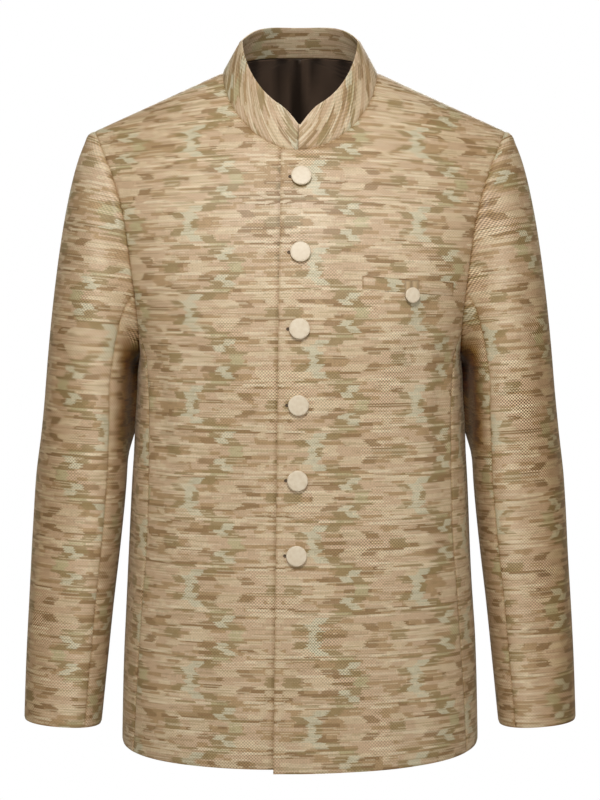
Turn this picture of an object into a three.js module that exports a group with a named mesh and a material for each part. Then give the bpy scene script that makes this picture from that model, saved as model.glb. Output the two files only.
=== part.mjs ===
// A bandhgala jacket as it hangs on a wearer, hollow, with no wearer in it.
// Millimetres, +Z up. The fronts face -Y and the wearer's left is +X.
// The origin is the middle of the neck base, level with the side neck points.
// One side is worked out with +X outwards, and the other is its mirror image.
import * as THREE from 'three';

// Cloth and seams
const clothThickness = 2;
const seamGap = 0.3;
const shoulderGap = 0.7;
const sleeveSeamGap = 0.6;
const liningThickness = 1.2;
const mostMitre = 1.5;

// Neck and shoulders
const neckHalfWidth = 84;
const sideNeckHeight = 5;
const throatHeight = -80;
const napeHeight = 27;
const shoulderSlope = 0.462;
const throatDip = 12;
const napeRise = 20;
const neckRoundness = 1.8;

// The body below the arms, in level sections. Depths are measured from the side line.
const sideLineY = 5;
const underarmHeight = -298;
const hemMiddle = -719;
const hemDip = 9;
const bodyRoundness = 2.4;
const bodySections = [
  { height: -735, halfWidth: 195.7, front: 141, back: 119 },
  { height: -640, halfWidth: 193.5, front: 137, back: 109 },
  { height: -567, halfWidth: 190.3, front: 134, back: 100 },
  { height: -500, halfWidth: 187.2, front: 132, back: 96 },
  { height: -436, halfWidth: 184, front: 132, back: 97 },
  { height: -396, halfWidth: 181, front: 133, back: 101 },
  { height: -350, halfWidth: 176.5, front: 135, back: 107 },
  { height: -298, halfWidth: 174.5, front: 136, back: 112 },
];

// Above the arms the sections widen and roll over to the shoulder seam.
const shoulderFlare = 100;
const flarePower = 1.5;
const frontRoll = 1.6;
const backRoll = 2.4;

// The armhole, from the shoulder down the front, under the arm and up the back.
// A height of 0 is above the body there, and is read as the shoulder seam.
const armholeRows = [
  { turn: 51.2, height: 0 },
  { turn: 51.2, height: -82 },
  { turn: 51.4, height: -108 },
  { turn: 53.3, height: -149 },
  { turn: 56.5, height: -180 },
  { turn: 62, height: -220 },
  { turn: 69, height: -258 },
  { turn: 78.5, height: -287 },
  { turn: 90, height: -298 },
  { turn: 101, height: -286 },
  { turn: 109, height: -256 },
  { turn: 115, height: -218 },
  { turn: 119.5, height: -180 },
  { turn: 123.5, height: -140 },
  { turn: 126.5, height: -105 },
  { turn: 128, height: -78 },
  { turn: 128.8, height: 0 },
];
const frontSeamMeetsArmhole = 6.4;
const backSeamMeetsArmhole = 10.3;

// The side seams, as turns round the body at levels from hem (0) to underarm (1)
const frontSeamRows = [
  { level: 0, turn: 64.6 },
  { level: 0.35, turn: 60 },
  { level: 0.7, turn: 59.5 },
];
const backSeamRows = [
  { level: 0, turn: 122 },
  { level: 0.35, turn: 124 },
  { level: 0.7, turn: 122 },
];

// The lap at centre front. The left front lies over the right one.
const lapClearance = 0.5;
const lapRise = clothThickness + lapClearance;
const lapFlat = 20;
const lapFade = 62;
const lapNeckDrop = 3;
const lapColumnsX = [8, 24];
const hemDropFade = 0.12;
const leftFront = {
  side: 1,
  edgeAtHem: -28,
  edgeAtNeck: -20,
  collarEnd: -1.85,
  rise: lapRise,
  hemDrop: 3,
};
const rightFront = {
  side: -1,
  edgeAtHem: -18,
  edgeAtNeck: -18,
  collarEnd: 2.15,
  rise: 0,
  hemDrop: -2,
};
const plainNeck = { side: 1, collarEnd: -1.85, rise: 0 };

// The stand collar leans in all round and forwards at the nape.
const collarHeight = 42;
const collarEndHeight = 26;
const collarCurve = 32;
const collarLeanIn = 0.58;
const collarLean = { middle: -0.31, swing: 0.41 };

// The sleeve below the armhole, in sections across its own line
const sleeveRoundness = 2.2;
const sleeveTilt = 0.078;
const sleeveSections = [
  { height: -697, inner: 216.9, outer: 300.8, halfDepth: 47, centreY: -20 },
  { height: -632, inner: 210.4, outer: 298.7, halfDepth: 50, centreY: -15 },
  { height: -567, inner: 203.8, outer: 295.4, halfDepth: 53, centreY: -10 },
  { height: -501, inner: 196.2, outer: 291, halfDepth: 56.5, centreY: -5 },
  { height: -436, inner: 189.9, outer: 286.7, halfDepth: 61, centreY: -1 },
  { height: -390, inner: 188, outer: 281.6, halfDepth: 66, centreY: 1 },
  { height: -330, inner: 186.5, outer: 276.6, halfDepth: 71, centreY: 2 },
];
const sleeveFrontSeam = { column: 10, turn: 128 };
const sleeveBackSeam = { column: 24, turn: 250 };
const sleeveLeaves = new THREE.Vector3(0.9, 0, -0.4).normalize();
const sleeveBulge = 0.8;
const sleeveStart = { least: 7, share: 0.055 };
const sleeveFall = 0.62;
const capCrowding = 1.2;

// Buttons, pocket and loop
const frontButton = { radius: 10.9, thickness: 4.2, stem: 3, standOff: 2.4 };
const smallButton = { radius: 8.3, thickness: 3.2, stem: 1.5, standOff: 3.7 };
const buttonEdge = { back: 0.9, faceInset: 1.1, faceLow: 1.3, faceHigh: 0.3 };
const buttonCount = 6;
const topButtonHeight = -106;
const bottomButtonHeight = -503.3;
const topButtonX = 1.6;
const bottomButtonX = -3.6;
const welt = {
  innerX: 65,
  outerX: 162,
  innerTop: -211.7,
  outerTop: -219.2,
  tall: 14,
  thickness: 1.5,
};
const pocketButtonX = 116.3;
const pocketButtonHeight = -232.3;
const loop = { legSpacing: 9, width: 4.5, thickness: 1.2, overWelt: 1 };

// The lining of the back, seen through the neck
const liningBottomRow = 9;
const liningColumns = 4;
const liningNeckGap = 3;
const liningClearance = 0.6;

// How finely the pieces are divided
const seamRows = 11;
const armholeSteps = 12;
const underarmSteps = 8;
const rowCount = seamRows + armholeSteps;
const frontEdgeRows = 13;
const lapColumns = 1 + lapColumnsX.length;
const neckFrontSteps = rowCount - frontEdgeRows;
const neckBackSteps = 7;
const backCentreRows = rowCount - neckBackSteps;
const acrossCount = 7;
const ringSteps = 2 * armholeSteps + underarmSteps;
const capRows = 7;
const sleeveRows = 9;
const collarRows = 3;
const weltRows = 2;
const weltColumns = 10;
const loopRows = 24;
const roundSteps = 20;
const spreadSteps = 240;
const levelHalvings = 40;

const toRadians = THREE.MathUtils.degToRad;
const toDegrees = THREE.MathUtils.radToDeg;
const mix = THREE.MathUtils.lerp;

const brocade = { color: 0xb39b76, roughness: 0.55, metalness: 0.1 };
const satin = { color: 0x2f2723, roughness: 0.4, metalness: 0 };
const cream = { color: 0xddcfb4, roughness: 0.5, metalness: 0 };

// A smooth reading of one column of a table whose rows rise in the key column
function readTable(rows, key, column, at) {
  const last = rows.length - 1;
  const value = THREE.MathUtils.clamp(at, rows[0][key], rows[last][key]);
  let i = 0;
  while (i < last - 1 && value > rows[i + 1][key]) {
    i += 1;
  }
  const slopeAt = (k) => {
    const before = rows[Math.max(k - 1, 0)];
    const after = rows[Math.min(k + 1, last)];
    return (after[column] - before[column]) / (after[key] - before[key]);
  };
  const span = rows[i + 1][key] - rows[i][key];
  const t = (value - rows[i][key]) / span;
  const square = t * t;
  const cube = square * t;
  const eased = 3 * square - 2 * cube;
  const values = rows[i][column] * (1 - eased) + rows[i + 1][column] * eased;
  const slopes = slopeAt(i) * (cube - 2 * square + t) + slopeAt(i + 1) * (cube - square);
  return values + slopes * span;
}

function hemHeight(turn) {
  return hemMiddle - hemDip * Math.cos(toRadians(turn));
}

// The height of the shoulder seam, carried on across the neck
function ridgeHeight(x, isBack) {
  const reach = Math.abs(x);
  const inNeck = Math.max(0, 1 - (reach / neckHalfWidth) ** 2);
  const eased = reach < neckHalfWidth ? (reach ** 2 + neckHalfWidth ** 2) / (2 * neckHalfWidth) : reach;
  const shift = isBack ? napeRise : -throatDip;
  return sideNeckHeight + shoulderSlope * (neckHalfWidth - eased) + shift * inNeck ** 2;
}

function upperHalfWidth(roll) {
  const underarm = readTable(bodySections, 'height', 'halfWidth', underarmHeight);
  return underarm + shoulderFlare * Math.sin(roll) ** flarePower;
}

// The outside of the body. A turn of 0 is centre front, 90 the side and 180 centre back.
// A level of 0 is the hem, 1 the underarm and 2 the shoulder seam.
function bodyPoint(turn, level) {
  const isBack = Math.cos(toRadians(turn)) < 0;
  const sine = Math.sin(toRadians(turn));
  const across = Math.sign(sine) * Math.abs(sine) ** (2 / bodyRoundness);
  const along = Math.abs(Math.cos(toRadians(turn))) ** (2 / bodyRoundness);
  const facing = isBack ? 1 : -1;
  const column = isBack ? 'back' : 'front';
  if (level <= 1) {
    const height = mix(hemHeight(turn), underarmHeight, level);
    const halfWidth = readTable(bodySections, 'height', 'halfWidth', height);
    const depth = readTable(bodySections, 'height', column, height);
    return new THREE.Vector3(halfWidth * across, sideLineY + facing * depth * along, height);
  }
  const roll = toRadians(90 * Math.min(level - 1, 1));
  const power = 2 / (isBack ? backRoll : frontRoll);
  const lift = Math.sin(roll) ** power;
  const draw = Math.max(Math.cos(roll), 0) ** power;
  const x = upperHalfWidth(roll) * across;
  const depth = readTable(bodySections, 'height', column, underarmHeight);
  const height = mix(underarmHeight, ridgeHeight(x, isBack), lift);
  return new THREE.Vector3(x, sideLineY + facing * depth * draw * along, height);
}

function bodyNormal(turn, level) {
  const step = 0.4;
  const rise = 0.004;
  const across = bodyPoint(turn + step, level).sub(bodyPoint(turn - step, level));
  const up = bodyPoint(turn, Math.min(level + rise, 2)).sub(bodyPoint(turn, Math.max(level - rise, 0)));
  return across.cross(up).normalize();
}

// The turn that reaches a distance from centre front in a section of a given half width
function turnFor(x, halfWidth) {
  const share = Math.min(Math.abs(x) / halfWidth, 1);
  return Math.sign(x) * toDegrees(Math.asin(share ** (bodyRoundness / 2)));
}

// The turn and level of a place that is given as it shows from the front or the back
function placeAt(x, height, isBack = false) {
  let halfWidth = readTable(bodySections, 'height', 'halfWidth', height);
  let roll = 0;
  if (height > underarmHeight) {
    const power = 2 / (isBack ? backRoll : frontRoll);
    const lift = Math.min((height - underarmHeight) / (ridgeHeight(x, isBack) - underarmHeight), 1);
    roll = Math.asin(lift ** (1 / power));
    halfWidth = upperHalfWidth(roll);
  }
  const turn = isBack ? 180 - turnFor(x, halfWidth) : turnFor(x, halfWidth);
  if (height > underarmHeight) {
    return { turn, level: 1 + toDegrees(roll) / 90 };
  }
  const low = hemHeight(turn);
  return { turn, level: (height - low) / (underarmHeight - low) };
}

// The level at which one turn of the upper body reaches a height
function levelAt(turn, height) {
  let low = 1;
  let high = 2;
  if (bodyPoint(turn, high).z <= height) {
    return high;
  }
  for (let i = 0; i < levelHalvings; i += 1) {
    const middle = (low + high) / 2;
    if (bodyPoint(turn, middle).z < height) {
      low = middle;
    } else {
      high = middle;
    }
  }
  return (low + high) / 2;
}

// Places spread evenly, by length on the body, along a path of turn and level
function spread(path, count) {
  const fine = spreadSteps;
  const places = Array.from({ length: fine + 1 }, (_, i) => path(i / fine));
  const points = places.map((place) => bodyPoint(place.turn, place.level));
  const lengths = [0];
  for (let i = 1; i <= fine; i += 1) {
    lengths.push(lengths[i - 1] + points[i].distanceTo(points[i - 1]));
  }
  const result = [];
  let i = 0;
  for (let k = 0; k <= count; k += 1) {
    const wanted = (lengths[fine] * k) / count;
    while (i < fine - 1 && lengths[i + 1] < wanted) {
      i += 1;
    }
    const t = THREE.MathUtils.clamp((wanted - lengths[i]) / (lengths[i + 1] - lengths[i]), 0, 1);
    result.push(mixPlace(places[i], places[i + 1], t));
  }
  return result;
}

function mixPlace(a, b, t) {
  return { turn: mix(a.turn, b.turn, t), level: mix(a.level, b.level, t) };
}

// A closed wall between an outer face and the same face moved in. Quads index the points.
function shell(points, inwards, quads) {
  const used = [...new Set(quads.flat())];
  const slot = new Map(used.map((index, k) => [index, k]));
  const outer = used.map((index) => points[index]);
  const inner = used.map((index) => points[index].clone().add(inwards[index]));
  const positions = [...outer, ...inner].flatMap((point) => point.toArray());
  const indices = [];
  const addQuad = (a, b, c, d) => indices.push(a, b, c, a, c, d);
  const edges = new Map();
  for (const quad of quads) {
    const [a, b, c, d] = quad.map((index) => slot.get(index));
    addQuad(a, b, c, d);
    addQuad(a + used.length, d + used.length, c + used.length, b + used.length);
    for (const [from, to] of [[a, b], [b, c], [c, d], [d, a]]) {
      edges.set(`${from} ${to}`, [from, to]);
    }
  }
  for (const [from, to] of edges.values()) {
    if (!edges.has(`${to} ${from}`)) {
      addQuad(to, from, from + used.length, to + used.length);
    }
  }
  return closedGeometry(positions, indices);
}

// A wall over a grid of rows and columns, without the cells that isCut names
function wall(outer, inward, isCut = () => false) {
  const columns = outer[0].length;
  const quads = [];
  for (let i = 0; i < outer.length - 1; i += 1) {
    for (let j = 0; j < columns - 1; j += 1) {
      const a = i * columns + j;
      if (!isCut(i, j)) {
        quads.push([a, a + 1, a + 1 + columns, a + columns]);
      }
    }
  }
  return shell(outer.flat(), inward.flat(), quads);
}

// A geometry whose faces point out, turned over if its volume comes out negative
function closedGeometry(positions, indices) {
  let volume = 0;
  const corner = (index) => new THREE.Vector3().fromArray(positions, 3 * index);
  for (let i = 0; i < indices.length; i += 3) {
    volume += corner(indices[i]).dot(corner(indices[i + 1]).cross(corner(indices[i + 2])));
  }
  const turned = volume < 0 ? [...indices].reverse() : indices;
  const geometry = new THREE.BufferGeometry();
  geometry.setAttribute('position', new THREE.Float32BufferAttribute(positions, 3));
  geometry.setIndex(turned);
  geometry.computeVertexNormals();
  return geometry;
}

// Directions along a line of points, one for each point
function tangents(points, isRing = false) {
  const last = points.length - 1;
  return points.map((_, k) => {
    const before = isRing && k === 0 ? points[last - 1] : points[Math.max(k - 1, 0)];
    const after = isRing && k === last ? points[1] : points[Math.min(k + 1, last)];
    return after.clone().sub(before).normalize();
  });
}

// The moves that take one seam edge of a piece back into the piece by half a gap
function openSeam(outer, inward, cells, options = {}) {
  const { gap = seamGap, toward } = options;
  const line = cells.map(([i, j]) => outer[i][j].clone());
  const along = tangents(line);
  const middle = outer[Math.floor(outer.length / 2)][Math.floor(outer[0].length / 2)];
  const moves = cells.map(([i, j], k) => along[k].clone().cross(inward[i][j]).normalize());
  const centre = Math.floor(cells.length / 2);
  const into = toward ?? middle.clone().sub(line[centre]);
  const facing = Math.sign(moves[centre].dot(into));
  return cells.map(([i, j], k) => ({ i, j, move: moves[k].multiplyScalar((facing * gap) / 2) }));
}

function moveCells(outer, shifts) {
  for (const { i, j, move } of shifts.flat()) {
    outer[i][j].add(move);
  }
}

// The direction that two cloths share where they meet, so that both are cut on one mitre
function sharedDirection(first, second) {
  const direction = first.clone().add(second).normalize();
  const reach = Math.min(1 / direction.dot(first), mostMitre);
  return direction.multiplyScalar(-clothThickness * reach);
}

function armholePath() {
  const rows = armholeRows.map((row, index) => ({
    index,
    turn: row.turn,
    level: levelAt(row.turn, row.height),
  }));
  return (index) => ({
    turn: readTable(rows, 'index', 'turn', index),
    level: readTable(rows, 'index', 'level', index),
  });
}

// The armhole ring, with the way that the sleeve leaves it and the shared mitre
function armhole() {
  const path = armholePath();
  const lastRow = armholeRows.length - 1;
  const stretch = (from, to, count) => spread((t) => path(mix(from, to, t)), count);
  const places = [
    ...stretch(0, frontSeamMeetsArmhole, armholeSteps),
    ...stretch(frontSeamMeetsArmhole, backSeamMeetsArmhole, underarmSteps).slice(1),
    ...stretch(backSeamMeetsArmhole, lastRow, armholeSteps).slice(1),
  ];
  const points = places.map((place) => bodyPoint(place.turn, place.level));
  const total = points.reduce((sum, point) => sum.add(point), new THREE.Vector3());
  const centre = total.divideScalar(points.length);
  const along = tangents(points, true);
  return places.map((place, k) => {
    const outwards = points[k].clone().sub(centre).normalize();
    const leaves = sleeveLeaves.clone();
    leaves.y += sleeveBulge * outwards.y;
    leaves.normalize();
    const sleeveNormal = along[k].clone().cross(leaves).normalize();
    sleeveNormal.multiplyScalar(Math.sign(sleeveNormal.dot(outwards)));
    const inward = sharedDirection(bodyNormal(place.turn, place.level), sleeveNormal);
    return { place, point: points[k], leaves, inward };
  });
}

function riseAt(x, piece) {
  return piece.rise * (1 - THREE.MathUtils.smoothstep(x, lapFlat, lapFade));
}

// The neckline of one side. A turn of 0 is the throat, 90 the side neck and 180 the nape.
function neckPlace(turn) {
  if (turn <= 90) {
    const power = 2 / neckRoundness;
    const sine = Math.sin(toRadians(turn));
    const x = Math.sign(sine) * neckHalfWidth * Math.abs(sine) ** power;
    const height = mix(sideNeckHeight, throatHeight, Math.max(Math.cos(toRadians(turn)), 0) ** power);
    return placeAt(x, height);
  }
  const left = toRadians(180 - turn);
  const height = sideNeckHeight + (napeHeight - sideNeckHeight) * Math.cos(left) ** 2;
  return placeAt(neckHalfWidth * Math.sin(left), height, true);
}

function collarDirection(turn) {
  const leanY = collarLean.middle + collarLean.swing * Math.cos(toRadians(turn));
  return new THREE.Vector3(-collarLeanIn * Math.sin(toRadians(turn)), leanY, 1).normalize();
}

// The neckline's points with the mitre that the body and the collar share
function neckEdge(piece) {
  const turns = [piece.collarEnd, ...lapColumnsX].map(turnOnNeck);
  const turned = turns[turns.length - 1];
  for (let k = 1; k <= neckFrontSteps; k += 1) {
    turns.push(mix(turned, 90, k / neckFrontSteps));
  }
  for (let k = 1; k <= neckBackSteps; k += 1) {
    turns.push(mix(90, 180, k / neckBackSteps));
  }
  const items = turns.map((turn) => {
    const place = neckPlace(turn);
    const normal = bodyNormal(place.turn, place.level);
    const point = bodyPoint(place.turn, place.level);
    point.addScaledVector(normal, turn <= 90 ? riseAt(point.x, piece) : 0);
    return { turn, place, normal, point };
  });
  const along = tangents(items.map((item) => item.point));
  along[along.length - 1].set(-1, 0, 0);
  return items.map((item, k) => {
    const direction = collarDirection(item.turn);
    const collarNormal = direction.clone().cross(along[k]).normalize();
    collarNormal.multiplyScalar(Math.sign(collarNormal.dot(item.normal)) || 1);
    const inward = sharedDirection(item.normal, collarNormal);
    return { ...item, direction, collarNormal, inward };
  });
}

// The turn on the neckline that lies a distance from centre front
function turnOnNeck(x) {
  const share = Math.abs(x) / neckHalfWidth;
  return Math.sign(x) * toDegrees(Math.asin(share ** (neckRoundness / 2)));
}

function neckHeightAt(x) {
  const place = neckPlace(turnOnNeck(x));
  return bodyPoint(place.turn, place.level).z;
}

function cellsBetween(from, to, at) {
  return Array.from({ length: to - from + 1 }, (_, k) => at(from + k));
}

function mirrored(points, side) {
  return points.map((row) => row.map((point) => point.clone().multiply(new THREE.Vector3(side, 1, 1))));
}

// The half width of the body at a level of its middle
function halfWidthAt(level) {
  if (level > 1) {
    return upperHalfWidth(toRadians(90 * (level - 1)));
  }
  return readTable(bodySections, 'height', 'halfWidth', bodyPoint(0, level).z);
}

// One row of a panel, from its centre edge or neckline to its side seam or armhole
function fillRow(start, end) {
  return Array.from({ length: acrossCount + 1 }, (_, j) => mixPlace(start, end, j / acrossCount));
}

function seamPlaces(rows, meeting) {
  const all = [...rows, { level: meeting.level, turn: meeting.turn }];
  return spread((t) => {
    const level = mix(0, meeting.level, t);
    return { level, turn: readTable(all, 'level', 'turn', level) };
  }, seamRows);
}

function inwardAt(place, thickness = clothThickness) {
  return bodyNormal(place.turn, place.level).multiplyScalar(-thickness);
}

// The level places of a front's lap strip, the same for both fronts, then its main part
function frontPlaces(piece, neck, sideEdge) {
  const throat = neckPlace(0).level;
  const levels = spread((t) => ({ turn: 0, level: throat * t }), frontEdgeRows).map((place) => place.level);
  return sideEdge.map((end, i) => {
    const edgeX = mix(piece.edgeAtHem, piece.edgeAtNeck, Math.min(i / frontEdgeRows, 1));
    let strip = [];
    if (i < frontEdgeRows) {
      const halfWidth = halfWidthAt(levels[i]);
      const reaches = [edgeX, piece.collarEnd, ...lapColumnsX];
      strip = reaches.map((x) => ({ turn: turnFor(x, halfWidth), level: levels[i] }));
    } else if (i === frontEdgeRows) {
      const lapCorner = placeAt(edgeX, neckHeightAt(edgeX) - lapNeckDrop);
      strip = [lapCorner, ...neck.slice(0, lapColumns).map((item) => item.place)];
    } else {
      strip = Array(lapColumns + 1).fill(neck[lapColumns - 1 + i - frontEdgeRows].place);
    }
    return [...strip, ...fillRow(strip[lapColumns], end).slice(1)];
  });
}

function frontPanel(piece, hole) {
  const neck = neckEdge(piece);
  const side = seamPlaces(frontSeamRows, hole[armholeSteps].place);
  const up = hole.slice(0, armholeSteps).reverse().map((item) => item.place);
  const places = frontPlaces(piece, neck, [...side, ...up]);
  const last = lapColumns + acrossCount;
  const top = rowCount;
  const inward = places.map((row) => row.map((place) => inwardAt(place)));
  const outer = places.map((row) => row.map((place, j) => {
    const point = bodyPoint(place.turn, place.level);
    point.addScaledVector(bodyNormal(place.turn, place.level), riseAt(point.x, piece));
    const nearHem = Math.max(0, 1 - place.level / hemDropFade);
    point.z -= piece.hemDrop * nearHem * (1 - j / last);
    return point;
  }));
  const neckCells = [
    ...cellsBetween(1, lapColumns, (j) => [frontEdgeRows, j]),
    ...cellsBetween(frontEdgeRows + 1, top, (i) => [i, lapColumns]),
  ];
  neckCells.forEach(([i, j], k) => {
    inward[i][j] = neck[k].inward.clone();
  });
  for (let i = seamRows; i <= top; i += 1) {
    inward[i][last] = hole[top - i].inward.clone();
  }
  moveCells(outer, [
    openSeam(outer, inward, cellsBetween(0, seamRows, (i) => [i, last])),
    openSeam(outer, inward, cellsBetween(seamRows, top, (i) => [i, last])),
    openSeam(outer, inward, cellsBetween(lapColumns, last, (j) => [top, j]), { gap: shoulderGap }),
    openSeam(outer, inward, neckCells),
  ]);
  const isCut = (i, j) => i >= frontEdgeRows && j < lapColumns;
  return wall(mirrored(outer, piece.side), mirrored(inward, piece.side), isCut);
}

// A back's rows, from centre back and the neckline to the side seam and armhole
function backPlaces(neck, hole) {
  const nape = neck[neck.length - 1].place;
  const centre = spread((t) => ({ turn: 180, level: nape.level * t }), backCentreRows);
  const alongNeck = neck.slice(-1 - neckBackSteps, -1).reverse().map((item) => item.place);
  alongNeck[alongNeck.length - 1] = sideNeckBehind();
  const seam = seamPlaces(backSeamRows, hole[armholeSteps + underarmSteps].place);
  const up = hole.slice(armholeSteps + underarmSteps + 1).map((item) => item.place);
  const sideEdge = [...seam, ...up];
  return [...centre, ...alongNeck].map((start, i) => fillRow(start, sideEdge[i]));
}

// The side neck point, read on the back rather than on the front
function sideNeckBehind() {
  return { turn: 180 - neckPlace(90).turn, level: 2 };
}

function backPanel(side, hole) {
  const neck = neckEdge(plainNeck);
  const places = backPlaces(neck, hole);
  const inward = places.map((row) => row.map((place) => inwardAt(place)));
  const outer = places.map((row) => row.map((place) => bodyPoint(place.turn, place.level)));
  for (let i = backCentreRows; i <= rowCount; i += 1) {
    inward[i][0] = neck[neck.length - 1 - (i - backCentreRows)].inward.clone();
  }
  for (let i = seamRows; i <= rowCount; i += 1) {
    inward[i][acrossCount] = hole[armholeSteps + underarmSteps + i - seamRows].inward.clone();
  }
  moveCells(outer, [
    openSeam(outer, inward, cellsBetween(0, seamRows, (i) => [i, acrossCount])),
    openSeam(outer, inward, cellsBetween(seamRows, rowCount, (i) => [i, acrossCount])),
    openSeam(outer, inward, cellsBetween(0, acrossCount, (j) => [rowCount, j]), { gap: shoulderGap }),
    openSeam(outer, inward, cellsBetween(backCentreRows, rowCount, (i) => [i, 0])),
    openSeam(outer, inward, cellsBetween(0, backCentreRows, (i) => [i, 0])),
  ]);
  return wall(mirrored(outer, side), mirrored(inward, side));
}

function sidePanel(side, hole) {
  const front = seamPlaces(frontSeamRows, hole[armholeSteps].place);
  const back = seamPlaces(backSeamRows, hole[armholeSteps + underarmSteps].place);
  const top = hole.slice(armholeSteps, armholeSteps + underarmSteps + 1);
  const places = front.map((start, i) => {
    const v = i / seamRows;
    return top.map((item, j) => {
      const u = j / underarmSteps;
      const across = mixPlace(start, back[i], u);
      const low = mixPlace(front[0], back[0], u);
      const straightTop = mixPlace(front[seamRows], back[seamRows], u);
      const bend = mixPlace(low, item.place, v);
      const flat = mixPlace(low, straightTop, v);
      return { turn: across.turn + bend.turn - flat.turn, level: across.level + bend.level - flat.level };
    });
  });
  const inward = places.map((row) => row.map((place) => inwardAt(place)));
  const outer = places.map((row) => row.map((place) => bodyPoint(place.turn, place.level)));
  top.forEach((item, j) => {
    inward[seamRows][j] = item.inward.clone();
  });
  moveCells(outer, [
    openSeam(outer, inward, cellsBetween(0, seamRows, (i) => [i, 0])),
    openSeam(outer, inward, cellsBetween(0, seamRows, (i) => [i, underarmSteps])),
    openSeam(outer, inward, cellsBetween(0, underarmSteps, (j) => [seamRows, j])),
  ]);
  return wall(mirrored(outer, side), mirrored(inward, side));
}

// The turn round the sleeve of each column of its ring: 0 is its outside and 90 its front.
function sleeveTurn(column) {
  const anchors = [
    { column: 0, turn: 0 },
    sleeveFrontSeam,
    { column: ringSteps / 2, turn: 180 },
    sleeveBackSeam,
    { column: ringSteps, turn: 360 },
  ];
  let i = 0;
  while (i < anchors.length - 2 && column > anchors[i + 1].column) {
    i += 1;
  }
  const t = (column - anchors[i].column) / (anchors[i + 1].column - anchors[i].column);
  return mix(anchors[i].turn, anchors[i + 1].turn, t);
}

function sleevePoint(turn, height) {
  const read = (column) => readTable(sleeveSections, 'height', column, height);
  const halfWidth = (read('outer') - read('inner')) / 2;
  const centreX = (read('outer') + read('inner')) / 2;
  const power = 2 / sleeveRoundness;
  const cosine = Math.cos(toRadians(turn));
  const sine = Math.sin(toRadians(turn));
  const outwards = halfWidth * Math.sign(cosine) * Math.abs(cosine) ** power;
  const forwards = read('halfDepth') * Math.sign(sine) * Math.abs(sine) ** power;
  return new THREE.Vector3(centreX + outwards, read('centreY') - forwards, height + outwards * sleeveTilt);
}

// The whole sleeve as rings, from the armhole over the cap and down to the cuff
function sleeveRings(hole) {
  const topSection = sleeveSections[sleeveSections.length - 1].height;
  const cuff = sleeveSections[0].height;
  const rings = Array.from({ length: capRows + sleeveRows + 1 }, () => []);
  hole.forEach((item, k) => {
    const turn = sleeveTurn(k);
    const end = sleevePoint(turn, topSection);
    const drop = item.point.z - end.z;
    const leave = sleeveStart.least + sleeveStart.share * drop;
    const fall = end.clone().add(new THREE.Vector3(-sleeveTilt * sleeveFall * drop, 0, sleeveFall * drop));
    const out = item.point.clone().addScaledVector(item.leaves, leave);
    const cap = new THREE.CubicBezierCurve3(item.point, out, fall, end);
    for (let i = 0; i < capRows; i += 1) {
      rings[i].push(cap.getPoint((i / capRows) ** capCrowding));
    }
    for (let i = 0; i <= sleeveRows; i += 1) {
      rings[capRows + i].push(sleevePoint(turn, mix(topSection, cuff, i / sleeveRows)));
    }
  });
  return rings;
}

// One piece of the sleeve, from one seam column to another
function sleevePiece(side, hole, from, to) {
  const rings = sleeveRings(hole);
  const wrap = (k) => ((k % ringSteps) + ringSteps) % ringSteps;
  const outer = [];
  const inward = [];
  rings.forEach((ring, i) => {
    outer.push([]);
    inward.push([]);
    for (let k = from; k <= to; k += 1) {
      const here = ring[wrap(k)];
      const round = ring[wrap(k + 1)].clone().sub(ring[wrap(k - 1)]);
      const below = rings[Math.min(i + 1, rings.length - 1)][wrap(k)];
      const above = rings[Math.max(i - 1, 0)][wrap(k)];
      const normal = round.clone().cross(below.clone().sub(above)).normalize();
      outer[i].push(here.clone());
      inward[i].push(i === 0 ? hole[wrap(k)].inward.clone() : normal.multiplyScalar(-clothThickness));
    }
  });
  const bottom = rings.length - 1;
  const last = to - from;
  const toward = hole[wrap(from + Math.floor((last + 1) / 2))].leaves;
  moveCells(outer, [
    openSeam(outer, inward, cellsBetween(0, last, (j) => [0, j]), { toward }),
    openSeam(outer, inward, cellsBetween(0, bottom, (i) => [i, 0]), { gap: sleeveSeamGap }),
    openSeam(outer, inward, cellsBetween(0, bottom, (i) => [i, last]), { gap: sleeveSeamGap }),
  ]);
  return wall(mirrored(outer, side), mirrored(inward, side));
}

function collarTall(point) {
  const left = Math.max(0, 1 - Math.abs(point.x) / collarCurve);
  return collarHeight - (point.y < sideLineY ? (collarHeight - collarEndHeight) * left ** 2 : 0);
}

function collarBand() {
  const halves = [leftFront, rightFront].map((piece) => neckEdge(piece).map((item) => {
    const flip = new THREE.Vector3(piece.side, 1, 1);
    return {
      point: item.point.clone().multiply(flip),
      direction: item.direction.clone().multiply(flip),
      inward: item.inward.clone().multiply(flip),
      wallInward: item.collarNormal.clone().multiply(flip).multiplyScalar(-clothThickness),
      tall: collarTall(item.point),
    };
  }));
  const ring = [...halves[0], ...halves[1].reverse().slice(1)];
  const outer = [];
  const inward = [];
  for (let i = 0; i <= collarRows; i += 1) {
    const share = i / collarRows;
    outer.push(ring.map((item) => {
      return item.point.clone().addScaledVector(item.direction, item.tall * share);
    }));
    inward.push(ring.map((item) => (i === 0 ? item.inward : item.wallInward).clone()));
  }
  const along = tangents(outer[0]);
  outer[0].forEach((point, j) => {
    const up = along[j].clone().cross(inward[0][j]).normalize();
    const facing = Math.sign(up.dot(ring[j].direction));
    point.addScaledVector(up, (facing * seamGap) / 2);
  });
  return wall(outer, inward);
}

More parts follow.
